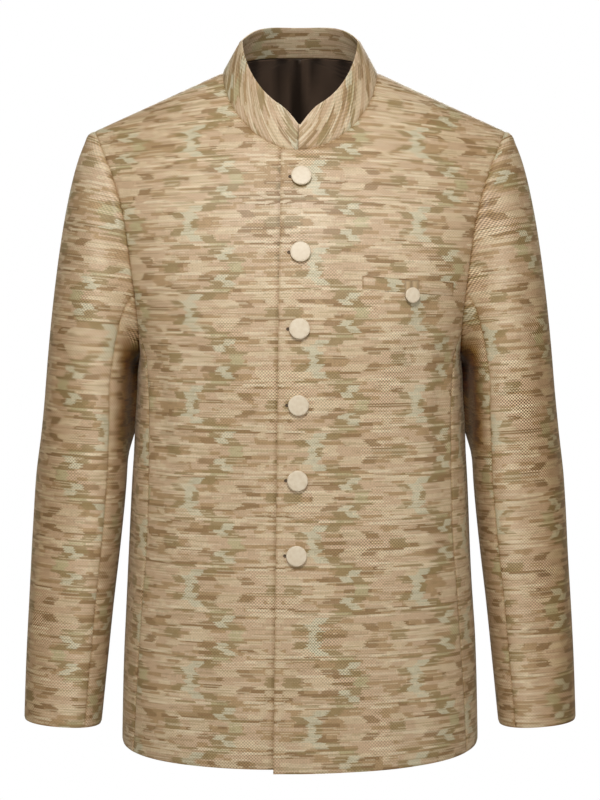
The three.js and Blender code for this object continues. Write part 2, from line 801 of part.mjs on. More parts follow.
// A thin piece that lies on the left front, from its points moved out
function lyingPiece(rows, columns, at, gap, thickness) {
  const outer = [];
  const inward = [];
  for (let i = 0; i <= rows; i += 1) {
    outer.push([]);
    inward.push([]);
    for (let j = 0; j <= columns; j += 1) {
      const { x, height } = at(i / rows, j / columns);
      const place = placeAt(x, height);
      const normal = bodyNormal(place.turn, place.level);
      outer[i].push(bodyPoint(place.turn, place.level).addScaledVector(normal, gap + thickness));
      inward[i].push(normal.clone().multiplyScalar(-thickness));
    }
  }
  return wall(outer, inward);
}

function weltTopAt(x) {
  const t = (x - welt.innerX) / (welt.outerX - welt.innerX);
  return mix(welt.innerTop, welt.outerTop, t);
}

function pocketWelt() {
  return lyingPiece(weltRows, weltColumns, (v, u) => {
    const x = mix(welt.innerX, welt.outerX, u);
    return { x, height: weltTopAt(x) - welt.tall * v };
  }, seamGap, welt.thickness);
}

// A loop that hangs from the top of the welt, with its round end about the button's stem
function pocketLoop() {
  const top = weltTopAt(pocketButtonX) - loop.overWelt;
  const radius = loop.legSpacing / 2;
  const leg = top - pocketButtonHeight;
  const length = 2 * leg + Math.PI * radius;
  const gap = welt.thickness + 2 * seamGap;
  return lyingPiece(loopRows, 1, (v, u) => {
    const travelled = v * length;
    const wide = radius + (u - 0.5) * loop.width;
    if (travelled < leg) {
      return { x: pocketButtonX - wide, height: top - travelled };
    }
    if (travelled > length - leg) {
      return { x: pocketButtonX + wide, height: top - (length - travelled) };
    }
    const angle = (travelled - leg) / radius;
    const x = pocketButtonX - wide * Math.cos(angle);
    return { x, height: pocketButtonHeight - wide * Math.sin(angle) };
  }, gap, loop.thickness);
}

// The lining of both backs in one piece, from their own points moved in
function backLining() {
  const places = backPlaces(neckEdge(plainNeck), hole);
  const points = [];
  const inwards = [];
  const quads = [];
  const slots = new Map();
  const pointAt = (i, j) => bodyPoint(places[i][j].turn, places[i][j].level);
  const slotOf = (side, i, j) => {
    const isShared = j === 0 && i <= backCentreRows;
    const key = `${isShared ? 0 : side} ${i} ${j}`;
    if (!slots.has(key)) {
      const normal = bodyNormal(places[i][j].turn, places[i][j].level);
      const point = pointAt(i, j).addScaledVector(normal, -clothThickness - liningClearance);
      if (j === 0 && i >= backCentreRows) {
        const inside = i === backCentreRows ? pointAt(i - 1, j) : pointAt(i, 1);
        point.addScaledVector(inside.sub(point).normalize(), liningNeckGap);
      }
      const flip = new THREE.Vector3(side, 1, 1);
      slots.set(key, points.length);
      points.push(point.multiply(flip));
      inwards.push(normal.multiply(flip).multiplyScalar(-liningThickness));
    }
    return slots.get(key);
  };
  for (const side of [1, -1]) {
    for (let i = liningBottomRow; i < rowCount - 1; i += 1) {
      for (let j = 0; j < liningColumns; j += 1) {
        const corners = [[i, j], [i, j + 1], [i + 1, j + 1], [i + 1, j]];
        const [a, b, c, d] = corners.map(([row, column]) => slotOf(side, row, column));
        quads.push(side > 0 ? [a, b, c, d] : [a, d, c, b]);
      }
    }
  }
  return shell(points, inwards, quads);
}

function buttonGeometry(size) {
  const back = size.standOff;
  const face = back + size.thickness;
  const profile = [
    [0, seamGap],
    [size.stem, seamGap],
    [size.stem, back],
    [size.radius - buttonEdge.back, back],
    [size.radius, back + buttonEdge.back],
    [size.radius, face - buttonEdge.faceLow],
    [size.radius - buttonEdge.faceInset, face - buttonEdge.faceHigh],
    [0, face],
  ];
  return new THREE.LatheGeometry(profile.map(([x, y]) => new THREE.Vector2(x, y)), roundSteps);
}

const jacket = new THREE.Group();

function addPiece(name, geometry, finish) {
  const mesh = new THREE.Mesh(geometry, new THREE.MeshStandardMaterial(finish));
  mesh.name = name;
  jacket.add(mesh);
  return mesh;
}

function addButton(name, size, x, height, rise) {
  const mesh = addPiece(name, buttonGeometry(size), cream);
  const place = placeAt(x, height);
  const normal = bodyNormal(place.turn, place.level);
  mesh.position.copy(bodyPoint(place.turn, place.level).addScaledVector(normal, rise));
  mesh.quaternion.setFromUnitVectors(new THREE.Vector3(0, 1, 0), normal);
}

const hole = armhole();

addPiece('front_left', frontPanel(leftFront, hole), brocade);
addPiece('front_right', frontPanel(rightFront, hole), brocade);
for (const [word, side] of [['left', 1], ['right', -1]]) {
  addPiece(`side_${word}`, sidePanel(side, hole), brocade);
  addPiece(`back_${word}`, backPanel(side, hole), brocade);
  const { column: frontSeam } = sleeveFrontSeam;
  const { column: backSeam } = sleeveBackSeam;
  addPiece(`top_sleeve_${word}`, sleevePiece(side, hole, backSeam - ringSteps, frontSeam), brocade);
  addPiece(`under_sleeve_${word}`, sleevePiece(side, hole, frontSeam, backSeam), brocade);
}
addPiece('collar', collarBand(), brocade);
addPiece('back_lining', backLining(), satin);
addPiece('pocket_welt', pocketWelt(), brocade);
addPiece('pocket_loop', pocketLoop(), brocade);
addButton('pocket_button', smallButton, pocketButtonX, pocketButtonHeight, 0);
for (let i = 0; i < buttonCount; i += 1) {
  const t = i / (buttonCount - 1);
  const x = mix(topButtonX, bottomButtonX, t);
  addButton(`button_${i + 1}`, frontButton, x, mix(topButtonHeight, bottomButtonHeight, t), lapRise);
}

export default jacket;
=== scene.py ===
import math

import bpy
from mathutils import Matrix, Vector
from mathutils.kdtree import KDTree


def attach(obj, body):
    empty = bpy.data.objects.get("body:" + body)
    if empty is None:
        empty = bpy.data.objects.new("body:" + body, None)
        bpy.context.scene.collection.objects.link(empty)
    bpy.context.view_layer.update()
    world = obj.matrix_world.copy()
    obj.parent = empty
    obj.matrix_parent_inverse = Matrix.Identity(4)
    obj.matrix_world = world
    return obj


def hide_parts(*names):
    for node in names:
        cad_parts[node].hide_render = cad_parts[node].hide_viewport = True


# A bandhgala jacket in ikat-like silk brocade, worn and hollow, cut from the same
# sizes as the solids. Lengths are millimetres until a mesh is put down in metres.
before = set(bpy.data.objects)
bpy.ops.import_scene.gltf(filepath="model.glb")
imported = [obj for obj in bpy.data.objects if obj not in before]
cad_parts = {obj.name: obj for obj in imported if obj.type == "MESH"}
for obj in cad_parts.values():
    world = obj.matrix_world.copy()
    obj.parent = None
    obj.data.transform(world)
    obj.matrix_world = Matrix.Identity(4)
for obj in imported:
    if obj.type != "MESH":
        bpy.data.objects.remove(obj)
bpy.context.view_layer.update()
print("frame loaded:", len(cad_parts), "nodes")

metre = 0.001


def mix(a, b, t):
    return a + (b - a) * t


def clamp(value, low=0.0, high=1.0):
    return min(max(value, low), high)


def smooth(value, low, high):
    t = clamp((value - low) / (high - low))
    return t * t * (3 - 2 * t)


def powered(value, power):
    return math.copysign(abs(value) ** power, value)


def table(columns, rows):
    names = columns.split()
    return [dict(zip(names, row)) for row in rows]


def readTable(rows, key, column, at):  # smooth reading between the rows
    last = len(rows) - 1
    value = clamp(at, rows[0][key], rows[last][key])
    i = 0
    while i < last - 1 and value > rows[i + 1][key]:
        i += 1

    def slopeAt(k):
        before, after = rows[max(k - 1, 0)], rows[min(k + 1, last)]
        return (after[column] - before[column]) / (after[key] - before[key])

    span = rows[i + 1][key] - rows[i][key]
    t = (value - rows[i][key]) / span
    eased = 3 * t * t - 2 * t ** 3
    values = rows[i][column] * (1 - eased) + rows[i + 1][column] * eased
    slopes = slopeAt(i) * (t ** 3 - 2 * t * t + t) + slopeAt(i + 1) * (t ** 3 - t * t)
    return values + slopes * span


# How the cloth is made and how finely it is divided
cloth = {
    "thickness": 2.0,
    "mostMitre": 1.5,
    "mitreEase": ((1, 0.12), (2, 0.38)),   # cells from a mitred edge, share of the plain wall
    "edgeDip": 0.9,        # how far an edge is pressed in
    "edgeReach": (-0.6, 3.2),              # and over what width
    "edgeShadeReach": (0.2, 2.2),
    "settle": (1, 16),     # folds begin this far from the armhole and the neck
    "facing": 62,          # brocade turned to the inside at the front edge
    "turnUp": 32,          # and at hem and cuff
    "paintedSideShade": 0.5,       # how much painted shade darkens the silk round the sides
    "sideFrom": 118,
    "sideTo": 184,
    "detail": 4,
}
detail = cloth["detail"]
seamRows = 11 * detail
armholeSteps = 12 * detail
underarmSteps = 8 * detail
rowCount = seamRows + armholeSteps
frontEdgeRows = 13 * detail
neckFrontSteps = rowCount - frontEdgeRows
neckBackSteps = 7 * detail
backCentreRows = rowCount - neckBackSteps
ringSteps = 2 * armholeSteps + underarmSteps

# The body: depths are measured from the side line
trunk = {
    "sideY": 5,
    "underarm": -298,
    "hemMiddle": -719.5,
    "hemDip": 11,
    "roundness": 2.4,
    "flare": 100,
    "flarePower": 1.5,
    "frontRoll": 1.6,
    "backRoll": 2.4,
}
trunkSections = table("height halfWidth front back", [
    (-735, 195.7, 141, 119),
    (-640, 193.5, 137, 109),
    (-567, 190.3, 134, 100),
    (-500, 187.2, 132, 96),
    (-436, 184, 132, 97),
    (-396, 181, 133, 101),
    (-350, 176.5, 135, 107),
    (-298, 174.5, 136, 112),
])
neck = {
    "halfWidth": 84,
    "sideHeight": 7,
    "throat": -80,
    "nape": 27,
    "slope": 0.455,
    "throatDip": 12,
    "napeRise": 22,
    "roundness": 1.8,
}
# From the shoulder down the front, under the arm and up the back
armholeRows = table("turn height", [
    (51.2, 0),
    (51.2, -82),
    (51.4, -108),
    (53.3, -149),
    (56.5, -180),
    (62, -220),
    (69, -258),
    (78.5, -287),
    (90, -298),
    (101, -286),
    (109, -256),
    (115, -218),
    (119.5, -180),
    (123.5, -140),
    (126.5, -105),
    (128, -78),
    (128.8, 0),
])
frontSeamMeetsArmhole = 6.4
backSeamMeetsArmhole = 10.3
frontSeamRows = table("level turn", [(0, 64.6), (0.35, 60), (0.7, 59.5)])
backSeamRows = table("level turn", [(0, 122), (0.35, 124), (0.7, 122)])

underarmSize = {
    column: readTable(trunkSections, "height", column, trunk["underarm"])
    for column in ("halfWidth", "front", "back")
}


def hemHeight(turn):
    return trunk["hemMiddle"] - trunk["hemDip"] * math.cos(math.radians(turn))


def ridgeHeight(x, isBack):  # the shoulder seam, carried on across the neck
    wide = neck["halfWidth"]
    reach = abs(x)
    eased = (reach ** 2 + wide ** 2) / (2 * wide) if reach < wide else reach
    if isBack:
        shift = neck["napeRise"] * max(0, 1 - (reach / wide) ** 2) ** 0.9
    else:
        shift = -neck["throatDip"] * max(0, 1 - (reach / wide) ** 2) ** 2
    return neck["sideHeight"] + neck["slope"] * (wide - eased) + shift


def upperHalfWidth(roll):
    return underarmSize["halfWidth"] + trunk["flare"] * math.sin(roll) ** trunk["flarePower"]


def bodyPoint(turn, level):
    # turn 0 is centre front, 90 the side, 180 centre back
    # level 0 is the hem, 1 the underarm, 2 the shoulder seam
    sine, cosine = math.sin(math.radians(turn)), math.cos(math.radians(turn))
    isBack = cosine < 0
    across = powered(sine, 2 / trunk["roundness"])
    along = abs(cosine) ** (2 / trunk["roundness"])
    facing = 1 if isBack else -1
    column = "back" if isBack else "front"
    if level <= 1:
        height = mix(hemHeight(turn), trunk["underarm"], level)
        halfWidth = readTable(trunkSections, "height", "halfWidth", height)
        depth = readTable(trunkSections, "height", column, height)
        return Vector((halfWidth * across, trunk["sideY"] + facing * depth * along, height))
    roll = math.radians(90 * min(level - 1, 1))
    power = 2 / trunk["backRoll" if isBack else "frontRoll"]
    lift = math.sin(roll) ** power
    draw = max(math.cos(roll), 0) ** power
    x = upperHalfWidth(roll) * across
    y = trunk["sideY"] + facing * underarmSize[column] * draw * along
    return Vector((x, y, mix(trunk["underarm"], ridgeHeight(x, isBack), lift)))


def bodyNormal(turn, level):
    step, rise = 0.4, 0.004
    across = bodyPoint(turn + step, level) - bodyPoint(turn - step, level)
    up = bodyPoint(turn, min(level + rise, 2)) - bodyPoint(turn, max(level - rise, 0))
    return across.cross(up).normalized()


def turnFor(x, halfWidth):
    share = min(abs(x) / halfWidth, 1)
    return math.copysign(math.degrees(math.asin(share ** (trunk["roundness"] / 2))), x)


def placeAt(x, height, isBack=False):  # a place given as it shows from front or back
    if height > trunk["underarm"]:
        power = 2 / trunk["backRoll" if isBack else "frontRoll"]
        lift = (height - trunk["underarm"]) / (ridgeHeight(x, isBack) - trunk["underarm"])
        roll = math.asin(min(lift, 1) ** (1 / power))
        turn = turnFor(x, upperHalfWidth(roll))
        level = 1 + math.degrees(roll) / 90
    else:
        turn = turnFor(x, readTable(trunkSections, "height", "halfWidth", height))
        low = hemHeight(turn)
        level = (height - low) / (trunk["underarm"] - low)
    return (180 - turn if isBack else turn, level)


def levelAt(turn, height):
    low, high = 1, 2
    if bodyPoint(turn, high).z <= height:
        return high
    for _ in range(40):
        middle = (low + high) / 2
        if bodyPoint(turn, middle).z < height:
            low = middle
        else:
            high = middle
    return (low + high) / 2


def mixPlace(a, b, t):
    return (mix(a[0], b[0], t), mix(a[1], b[1], t))


def sample(items, position, blend=mixPlace):  # a list read at a place between its items
    low = min(int(position), len(items) - 1)
    high = min(low + 1, len(items) - 1)
    return blend(items[low], items[high], position - low)


def spread(path, count, steps=240):  # places spread evenly by length on the body
    places = [path(i / steps) for i in range(steps + 1)]
    points = [bodyPoint(*place) for place in places]
    lengths = [0.0]
    for before, after in zip(points, points[1:]):
        lengths.append(lengths[-1] + (after - before).length)
    result = []
    i = 0
    for k in range(count + 1):
        wanted = lengths[-1] * k / count
        while i < steps - 1 and lengths[i + 1] < wanted:
            i += 1
        t = clamp((wanted - lengths[i]) / (lengths[i + 1] - lengths[i]))
        result.append(mixPlace(places[i], places[i + 1], t))
    return result


def tangents(points, isRing=False):
    last = len(points) - 1
    result = []
    for k in range(last + 1):
        before = points[last - 1] if isRing and k == 0 else points[max(k - 1, 0)]
        after = points[1] if isRing and k == last else points[min(k + 1, last)]
        result.append((after - before).normalized())
    return result


def sharedDirection(first, second):  # the mitre that two cloths share where they meet
    direction = (first + second).normalized()
    reach = min(1 / direction.dot(first), cloth["mostMitre"])
    return direction * (-cloth["thickness"] * reach)


# The cut lies flat by these distances: round the body from centre front, and up or
# down it from the underarm line. The pattern of the cloth follows them.
clothTable = {"turnStep": 3, "levelStep": 0.04}


def layOutCloth():
    turns = [i * clothTable["turnStep"] for i in range(round(180 / clothTable["turnStep"]) + 1)]
    levels = [i * clothTable["levelStep"] for i in range(round(2 / clothTable["levelStep"]) + 1)]
    points = [[bodyPoint(turn, level) for turn in turns] for level in levels]
    start = round(1 / clothTable["levelStep"])
    rounds, rises = [], [[0.0] * len(turns) for _ in levels]
    for row in points:
        lengths = [0.0]
        for before, after in zip(row, row[1:]):
            lengths.append(lengths[-1] + (after - before).length)
        rounds.append(lengths)
    for j in range(len(turns)):
        for i in range(start + 1, len(levels)):
            rises[i][j] = rises[i - 1][j] + (points[i][j] - points[i - 1][j]).length
        for i in range(start - 1, -1, -1):
            rises[i][j] = rises[i + 1][j] - (points[i][j] - points[i + 1][j]).length
    clothTable["rounds"], clothTable["rises"] = rounds, rises


layOutCloth()


def clothAt(turn, level):
    row = clamp(level / clothTable["levelStep"], 0, len(clothTable["rounds"]) - 1.001)
    column = clamp(abs(turn) / clothTable["turnStep"], 0, len(clothTable["rounds"][0]) - 1.001)
    i, j = int(row), int(column)
    s, t = row - i, column - j

    def read(grid):
        low = mix(grid[i][j], grid[i][j + 1], t)
        high = mix(grid[i + 1][j], grid[i + 1][j + 1], t)
        return mix(low, high, s)

    return (math.copysign(read(clothTable["rounds"]), turn), read(clothTable["rises"]))


# Soft troughs and ridges in the worn cloth, listed one by one. side 1 is the wearer's left,
# deep is negative for a trough.
trunkFolds = table("side turn height toTurn toHeight wide deep", [
    (1, 47, -235, 34, -330, 20, -2.4),     # from the front of the armhole to the chest
    (1, 58, -300, 50, -430, 17, -2.2),
    (1, 44, -380, 40, -560, 26, 1.8),
    (1, 55, -520, 57, -700, 18, 2.2),      # ripples that run down to the hem
    (1, 34, -600, 36, -730, 22, -1.8),
    (1, 78, -360, 84, -560, 22, -3.0),     # the waist at the side
    (1, 108, -330, 118, -520, 24, -2.8),
    (1, 132, -140, 140, -300, 26, -2.6),   # below the shoulder blade
    (1, 150, -420, 156, -640, 30, 2.2),
    (1, 128, -560, 132, -720, 20, 2.4),
    (1, 30, -55, 44, -70, 14, -1.0),       # along the shoulder
    (1, 93, -290, 93, -388, 20, 2.8),      # full under the arm, towards the sleeve
    (-1, 45, -225, 30, -345, 22, -2.2),
    (-1, 57, -310, 48, -410, 15, -2.6),
    (-1, 40, -400, 45, -590, 24, 1.7),
    (-1, 58, -540, 54, -705, 20, 2.0),
    (-1, 31, -585, 29, -730, 24, -2.0),
    (-1, 80, -370, 76, -590, 20, -2.7),
    (-1, 106, -345, 112, -500, 22, -2.9),
    (-1, 135, -120, 144, -310, 24, -2.3),
    (-1, 153, -380, 150, -600, 28, 2.4),
    (-1, 125, -540, 127, -720, 22, 2.1),
    (-1, 28, -58, 42, -66, 13, -1.1),
    (-1, 93, -290, 93, -388, 20, 2.8),
])
trunkFoldScale = 2.9       # millimetres of cloth for a degree round the body
sleeveFolds = table("side turn height toTurn toHeight wide deep", [
    (1, 96, -255, 128, -330, 9, -2.4),     # drawn in below the armhole, in front
    (1, 60, -215, 52, -330, 13, -2.0),
    (1, 112, -392, 70, -428, 8, -2.6),     # bends of the elbow
    (1, 122, -430, 78, -455, 8, 2.2),
    (1, 116, -470, 66, -486, 9, -2.2),
    (1, 40, -520, 60, -640, 12, 1.6),
    (1, 92, -560, 84, -680, 10, -1.8),
    (1, 250, -300, 236, -420, 12, -2.6),
    (1, 230, -455, 200, -500, 10, 2.4),
    (1, 262, -540, 270, -660, 12, -2.0),
    (1, 10, -360, 352, -520, 15, 1.4),
    (1, 202, -286, 202, -396, 16, 12.6),   # full on the inside, towards the body
    (-1, 100, -262, 124, -345, 10, -2.6),
    (-1, 55, -230, 64, -345, 12, -1.9),
    (-1, 118, -380, 74, -410, 8, -2.4),
    (-1, 110, -418, 60, -446, 9, 2.3),
    (-1, 120, -462, 72, -492, 8, -2.5),
    (-1, 46, -500, 38, -620, 12, 1.7),
    (-1, 88, -580, 96, -690, 9, -1.7),
    (-1, 246, -310, 240, -430, 12, -2.4),
    (-1, 226, -470, 206, -520, 10, 2.2),
    (-1, 266, -560, 262, -670, 11, -2.1),
    (-1, 6, -380, 356, -540, 15, 1.5),
    (-1, 202, -286, 202, -396, 16, 12.6),
])
sleeveFoldScale = 1.0
foldStart = (-0.25, 0.3)   # shares of a fold's run over which it rises and dies out
foldEnd = (0.7, 1.25)


def foldDepth(folds, scale, side, turn, height):
    total = 0.0
    for fold in folds:
        if fold["side"] != side:
            continue
        across = (((turn - fold["turn"] + 180) % 360) - 180) * scale
        along = height - fold["height"]
        runAcross = (((fold["toTurn"] - fold["turn"] + 180) % 360) - 180) * scale
        runAlong = fold["toHeight"] - fold["height"]
        length = math.hypot(runAcross, runAlong)
        t = (across * runAcross + along * runAlong) / length ** 2
        away = (across * runAlong - along * runAcross) / length
        ends = smooth(t, *foldStart) * (1 - smooth(t, *foldEnd))
        total += fold["deep"] * ends * math.exp(-((away / fold["wide"]) ** 2))
    return total


def bodyRelief(side, turn, height):
    return foldDepth(trunkFolds, trunkFoldScale, side, abs(turn), height)


def bodySurface(place, side):  # the outside of the worn cloth, folds and all
    point = bodyPoint(*place)
    normal = bodyNormal(*place)
    settled = smooth(quietTree.find(point)[2], *cloth["settle"])
    return point + normal * (settled * bodyRelief(side, place[0], point.z)), normal


def armhole():
    rows = [
        {"index": index, "turn": row["turn"], "level": levelAt(row["turn"], row["height"])}
        for index, row in enumerate(armholeRows)
    ]

    def stretch(start, end, count):
        def path(t):
            at = mix(start, end, t)
            return (readTable(rows, "index", "turn", at), readTable(rows, "index", "level", at))
        return spread(path, count)

    places = stretch(0, frontSeamMeetsArmhole, armholeSteps)
    places += stretch(frontSeamMeetsArmhole, backSeamMeetsArmhole, underarmSteps)[1:]
    places += stretch(backSeamMeetsArmhole, len(rows) - 1, armholeSteps)[1:]
    points = [bodyPoint(*place) for place in places]
    centre = sum(points, Vector()) / len(points)
    ring = []
    for place, point, along in zip(places, points, tangents(points, True)):
        outwards = (point - centre).normalized()
        leaves = Vector(sleeve["leaves"]).normalized()
        leaves.y += sleeve["bulge"] * outwards.y
        leaves.normalize()
        sleeveNormal = along.cross(leaves).normalized()
        if sleeveNormal.dot(outwards) < 0:
            sleeveNormal.negate()
        inward = sharedDirection(bodyNormal(*place), sleeveNormal)
        ring.append({"place": place, "point": point, "leaves": leaves, "inward": inward})
    return ring


# Meshes
def putDown(name, data):
    item = bpy.data.objects.new(name, data)
    bpy.context.scene.collection.objects.link(item)
    return item


def shadeSmooth(mesh, sharpAngle):
    mesh.polygons.foreach_set("use_smooth", [True] * len(mesh.polygons))
    mesh.set_sharp_from_angle(angle=math.radians(sharpAngle))


def gridCells(outer, isCut=None):
    columns = len(outer[0])
    quads = []
    for i in range(len(outer) - 1):
        for j in range(columns - 1):
            if not (isCut and isCut(i, j)):
                a = i * columns + j
                quads.append((a, a + 1, a + 1 + columns, a + columns))
    return quads


def openEdges(quads):
    edges = {}
    for a, b, c, d in quads:
        for edge in ((a, b), (b, c), (c, d), (d, a)):
            edges[edge] = True
    return [edge for edge in edges if (edge[1], edge[0]) not in edges]


def edgeFinder(points, edges, spacing=1.0):
    dots = []
    for a, b in edges:
        length = (points[b] - points[a]).length
        for k in range(max(1, round(length / spacing)) + 1):
            dots.append(points[a].lerp(points[b], k / max(1, round(length / spacing))))
    tree = KDTree(len(dots))
    for index, dot in enumerate(dots):
        tree.insert(dot, index)
    tree.balance()
    return tree


def makeCloth(name, points, inwards, places, quads, finishes, insideOf=None, paintedEdgeShading=None,
              paintedAreaShading=None):
    # A closed cloth: its outer face, the same face moved in, and the rim between them.
    # places are the points' places on the flat cloth, and each edge is pressed thinner.
    # The edge shading paints shade along edges and seams, and below 0 a highlight on a fold.
    # The area shading paints shade, or highlight below 0, away from the edges; both go to shadow.
    used = sorted({index for quad in quads for index in quad})
    slotOf = {index: k for k, index in enumerate(used)}
    rim = openEdges(quads)
    finder = edgeFinder(points, rim)
    outer, inner, paintedShades = [], [], []
    for index in used:
        away = finder.find(points[index])[2]
        # painted shade along the edges, or a painted highlight, added to painted shade over the cloth
        depth = paintedEdgeShading(points[index]) if paintedEdgeShading else 1.0
        ground = paintedAreaShading(points[index]) if paintedAreaShading else 0.0
        paintedShades.append(ground + depth * (1 - smooth(away, *cloth["edgeShadeReach"])))
        press = cloth["edgeDip"] * (1 - smooth(away, *cloth["edgeReach"]))
        thin = min(press, 0.4 * inwards[index].length)
        direction = inwards[index].normalized()
        outer.append(points[index] + direction * thin)
        inner.append(points[index] + inwards[index] - direction * 0.3 * thin)
    count = len(used)
    vertices = [point * metre for point in outer + inner]
    faces, finishOf = [], []
    for quad in quads:
        a, b, c, d = (slotOf[index] for index in quad)
        faces.append((a, b, c, d))
        finishOf.append(0)
        faces.append((a + count, d + count, c + count, b + count))
        finishOf.append(insideOf(quad) if insideOf else 0)
    for a, b in rim:
        a, b = slotOf[a], slotOf[b]
        faces.append((b, a, a + count, b + count))
        finishOf.append(0)
    mesh = bpy.data.meshes.new(name)
    mesh.from_pydata(vertices, [], faces)
    uvs = mesh.uv_layers.new(name="cloth")
    for loop in mesh.loops:
        across, along = places[used[loop.vertex_index % count]]
        uvs.data[loop.index].uv = (across * metre, along * metre)
    shadow = mesh.attributes.new("shadow", "FLOAT", "POINT")
    shadow.data.foreach_set("value", paintedShades + paintedShades)
    for finish in finishes:
        mesh.materials.append(finish)
    mesh.polygons.foreach_set("material_index", finishOf)
    volume = sum(
        mesh.vertices[a].co.dot(mesh.vertices[b].co.cross(mesh.vertices[c].co))
        for a, b, c in (triangle.vertices for triangle in trianglesOf(mesh))
    )
    if volume < 0:
        mesh.flip_normals()
    shadeSmooth(mesh, 55)
    mesh.update()
    return putDown(name, mesh)


def trianglesOf(mesh):
    mesh.calc_loop_triangles()
    return mesh.loop_triangles


def sewPiece(name, grid, quads, finishes, insideOf=None, paintedEdgeShading=None,
             paintedAreaShading=None):
    points = [point for row in grid["outer"] for point in row]
    inwards = [inward for row in grid["inward"] for inward in row]
    pattern = [place for row in grid.get("pattern", grid["places"]) for place in row]
    piece = makeCloth(name, points, inwards, pattern, quads, finishes, insideOf, paintedEdgeShading, paintedAreaShading)
    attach(piece, "root")
    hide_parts(name)
    piece.name = name + "_cloth"
    return piece


def mirrorGrid(grid, side):
    if side > 0:
        return grid
    flip = Vector((-1, 1, 1))
    for key in ("outer", "inward"):
        grid[key] = [[vector * flip for vector in row] for row in grid[key]]
    grid["places"] = [[(-across, along) for across, along in row] for row in grid["places"]]
    return grid


def crowded(count, ends):  # whole steps, with a few more close to each end
    near, far = ends
    low = [0.0] + list(near)
    high = [count - step for step in reversed(far)] + [float(count)]
    first = int(math.ceil(low[-1] + 0.4))
    last = int(math.floor(high[0] - 0.4))
    return low + [float(k) for k in range(first, last + 1)] + high


def lengthsFrom(middle, points):  # along a row of points, below 0 before its middle
    lengths = [0.0] * len(points)
    for j in range(middle + 1, len(points)):
        lengths[j] = lengths[j - 1] + (points[j] - points[j - 1]).length
    for j in range(middle - 1, -1, -1):
        lengths[j] = lengths[j + 1] - (points[j] - points[j + 1]).length
    return lengths


def setMitre(grid, cells, shared, positions):  # an edge takes the mitre of its neighbours
    for (i, j), at in zip(cells, positions):
        grid["inward"][i][j] = sample(shared, at, blendVectors)


def easeMitre(inward, cells, stepRow, stepColumn):  # from the mitre back to the plain wall
    for i, j in cells:
        for away, share in cloth["mitreEase"]:
            row, column = i + stepRow * away, j + stepColumn * away
            inward[row][column] = inward[i][j].lerp(inward[row][column], share)


# The neckline, where the body meets the stand collar
collar = {
    "height": 42,
    "endHeight": 26,
    "curve": 32,
    "backDip": 4,          # lower at the nape
    "leanIn": 0.58,
    "leanMiddle": -0.31,
    "leanSwing": 0.41,
    "rows": 12,
    "biasFrom": 70,
    "biasOver": 40,
    "bias": 0.75,
    "clothRise": 30,
    "topTone": -0.7,       # the folded top edge catches the light
    "topReach": 3,
}
lap = {
    "clearance": 0.5,
    "flat": 20,
    "fade": 62,
    "neckDrop": 3,
    "hemDropFade": 0.12,
    "edge": (0, 0.8, 2.4, 6, 12),
    "lapShadowWide": 5.0,        # width of the painted shadow line beside the lap
    "lapShadowFrom": -3,
    "lapShadowTone": 0.95,
}
leftFront = {
    "side": 1,
    "edgeAtHem": -28,
    "edgeAtNeck": -20,
    "collarEnd": -1.85,
    "columns": (5, 8, 12, 16, 20, 24),
    "rise": cloth["thickness"] + lap["clearance"],
    "hemDrop": 3,
}
rightFront = {
    "side": -1,
    "edgeAtHem": -18,
    "edgeAtNeck": -18,
    "collarEnd": 2.15,
    "columns": (6, 10, 14, 17, 19, 21, 23, 25, 27, 29, 31, 34),
    "rise": 0,
    "hemDrop": -2,
}


def riseAt(x, front):
    return front["rise"] * (1 - smooth(x, lap["flat"], lap["fade"]))


def neckPlace(turn):  # 0 is the throat, 90 the side neck, 180 the nape
    if turn <= 90:
        power = 2 / neck["roundness"]
        x = neck["halfWidth"] * powered(math.sin(math.radians(turn)), power)
        down = max(math.cos(math.radians(turn)), 0) ** power
        return placeAt(x, mix(neck["sideHeight"], neck["throat"], down))
    left = math.radians(180 - turn)
    height = mix(neck["sideHeight"], neck["nape"], 1 - math.sin(left) ** 4)
    return placeAt(neck["halfWidth"] * math.sin(left), height, True)


def turnOnNeck(x):
    share = (abs(x) / neck["halfWidth"]) ** (neck["roundness"] / 2)
    return math.copysign(math.degrees(math.asin(share)), x)


def neckHeightAt(x):
    return bodyPoint(*neckPlace(turnOnNeck(x))).z


def neckEdge(front, columns):
    turns = [turnOnNeck(x) for x in columns]
    turned = turns[-1]
    turns += [mix(turned, 90, k / neckFrontSteps) for k in range(1, neckFrontSteps + 1)]
    turns += [mix(90, 180, k / neckBackSteps) for k in range(1, neckBackSteps + 1)]
    items = []
    for turn in turns:
        place = neckPlace(turn)
        normal = bodyNormal(*place)
        point = bodyPoint(*place)
        if turn <= 90:
            point += normal * riseAt(point.x, front)
        items.append({"turn": turn, "place": place, "normal": normal, "point": point})
    along = tangents([item["point"] for item in items])
    along[-1] = Vector((-1, 0, 0))
    for item, direction in zip(items, along):
        angle = math.radians(item["turn"])
        lean = collar["leanMiddle"] + collar["leanSwing"] * math.cos(angle)
        item["up"] = Vector((-collar["leanIn"] * math.sin(angle), lean, 1)).normalized()
        item["wallNormal"] = item["up"].cross(direction).normalized()
        if item["wallNormal"].dot(item["normal"]) < 0:
            item["wallNormal"].negate()
        item["inward"] = sharedDirection(item["normal"], item["wallNormal"])
    return items


def blendVectors(a, b, t):
    return a.lerp(b, t)


def halfWidthAt(level):
    if level > 1:
        return upperHalfWidth(math.radians(90 * (level - 1)))
    return readTable(trunkSections, "height", "halfWidth", bodyPoint(0, level).z)


def seamPlaces(rows, meeting):
    rows = rows + [{"level": meeting[1], "turn": meeting[0]}]

    def path(t):
        level = meeting[1] * t
        return (readTable(rows, "level", "turn", level), level)

    return spread(path, seamRows)


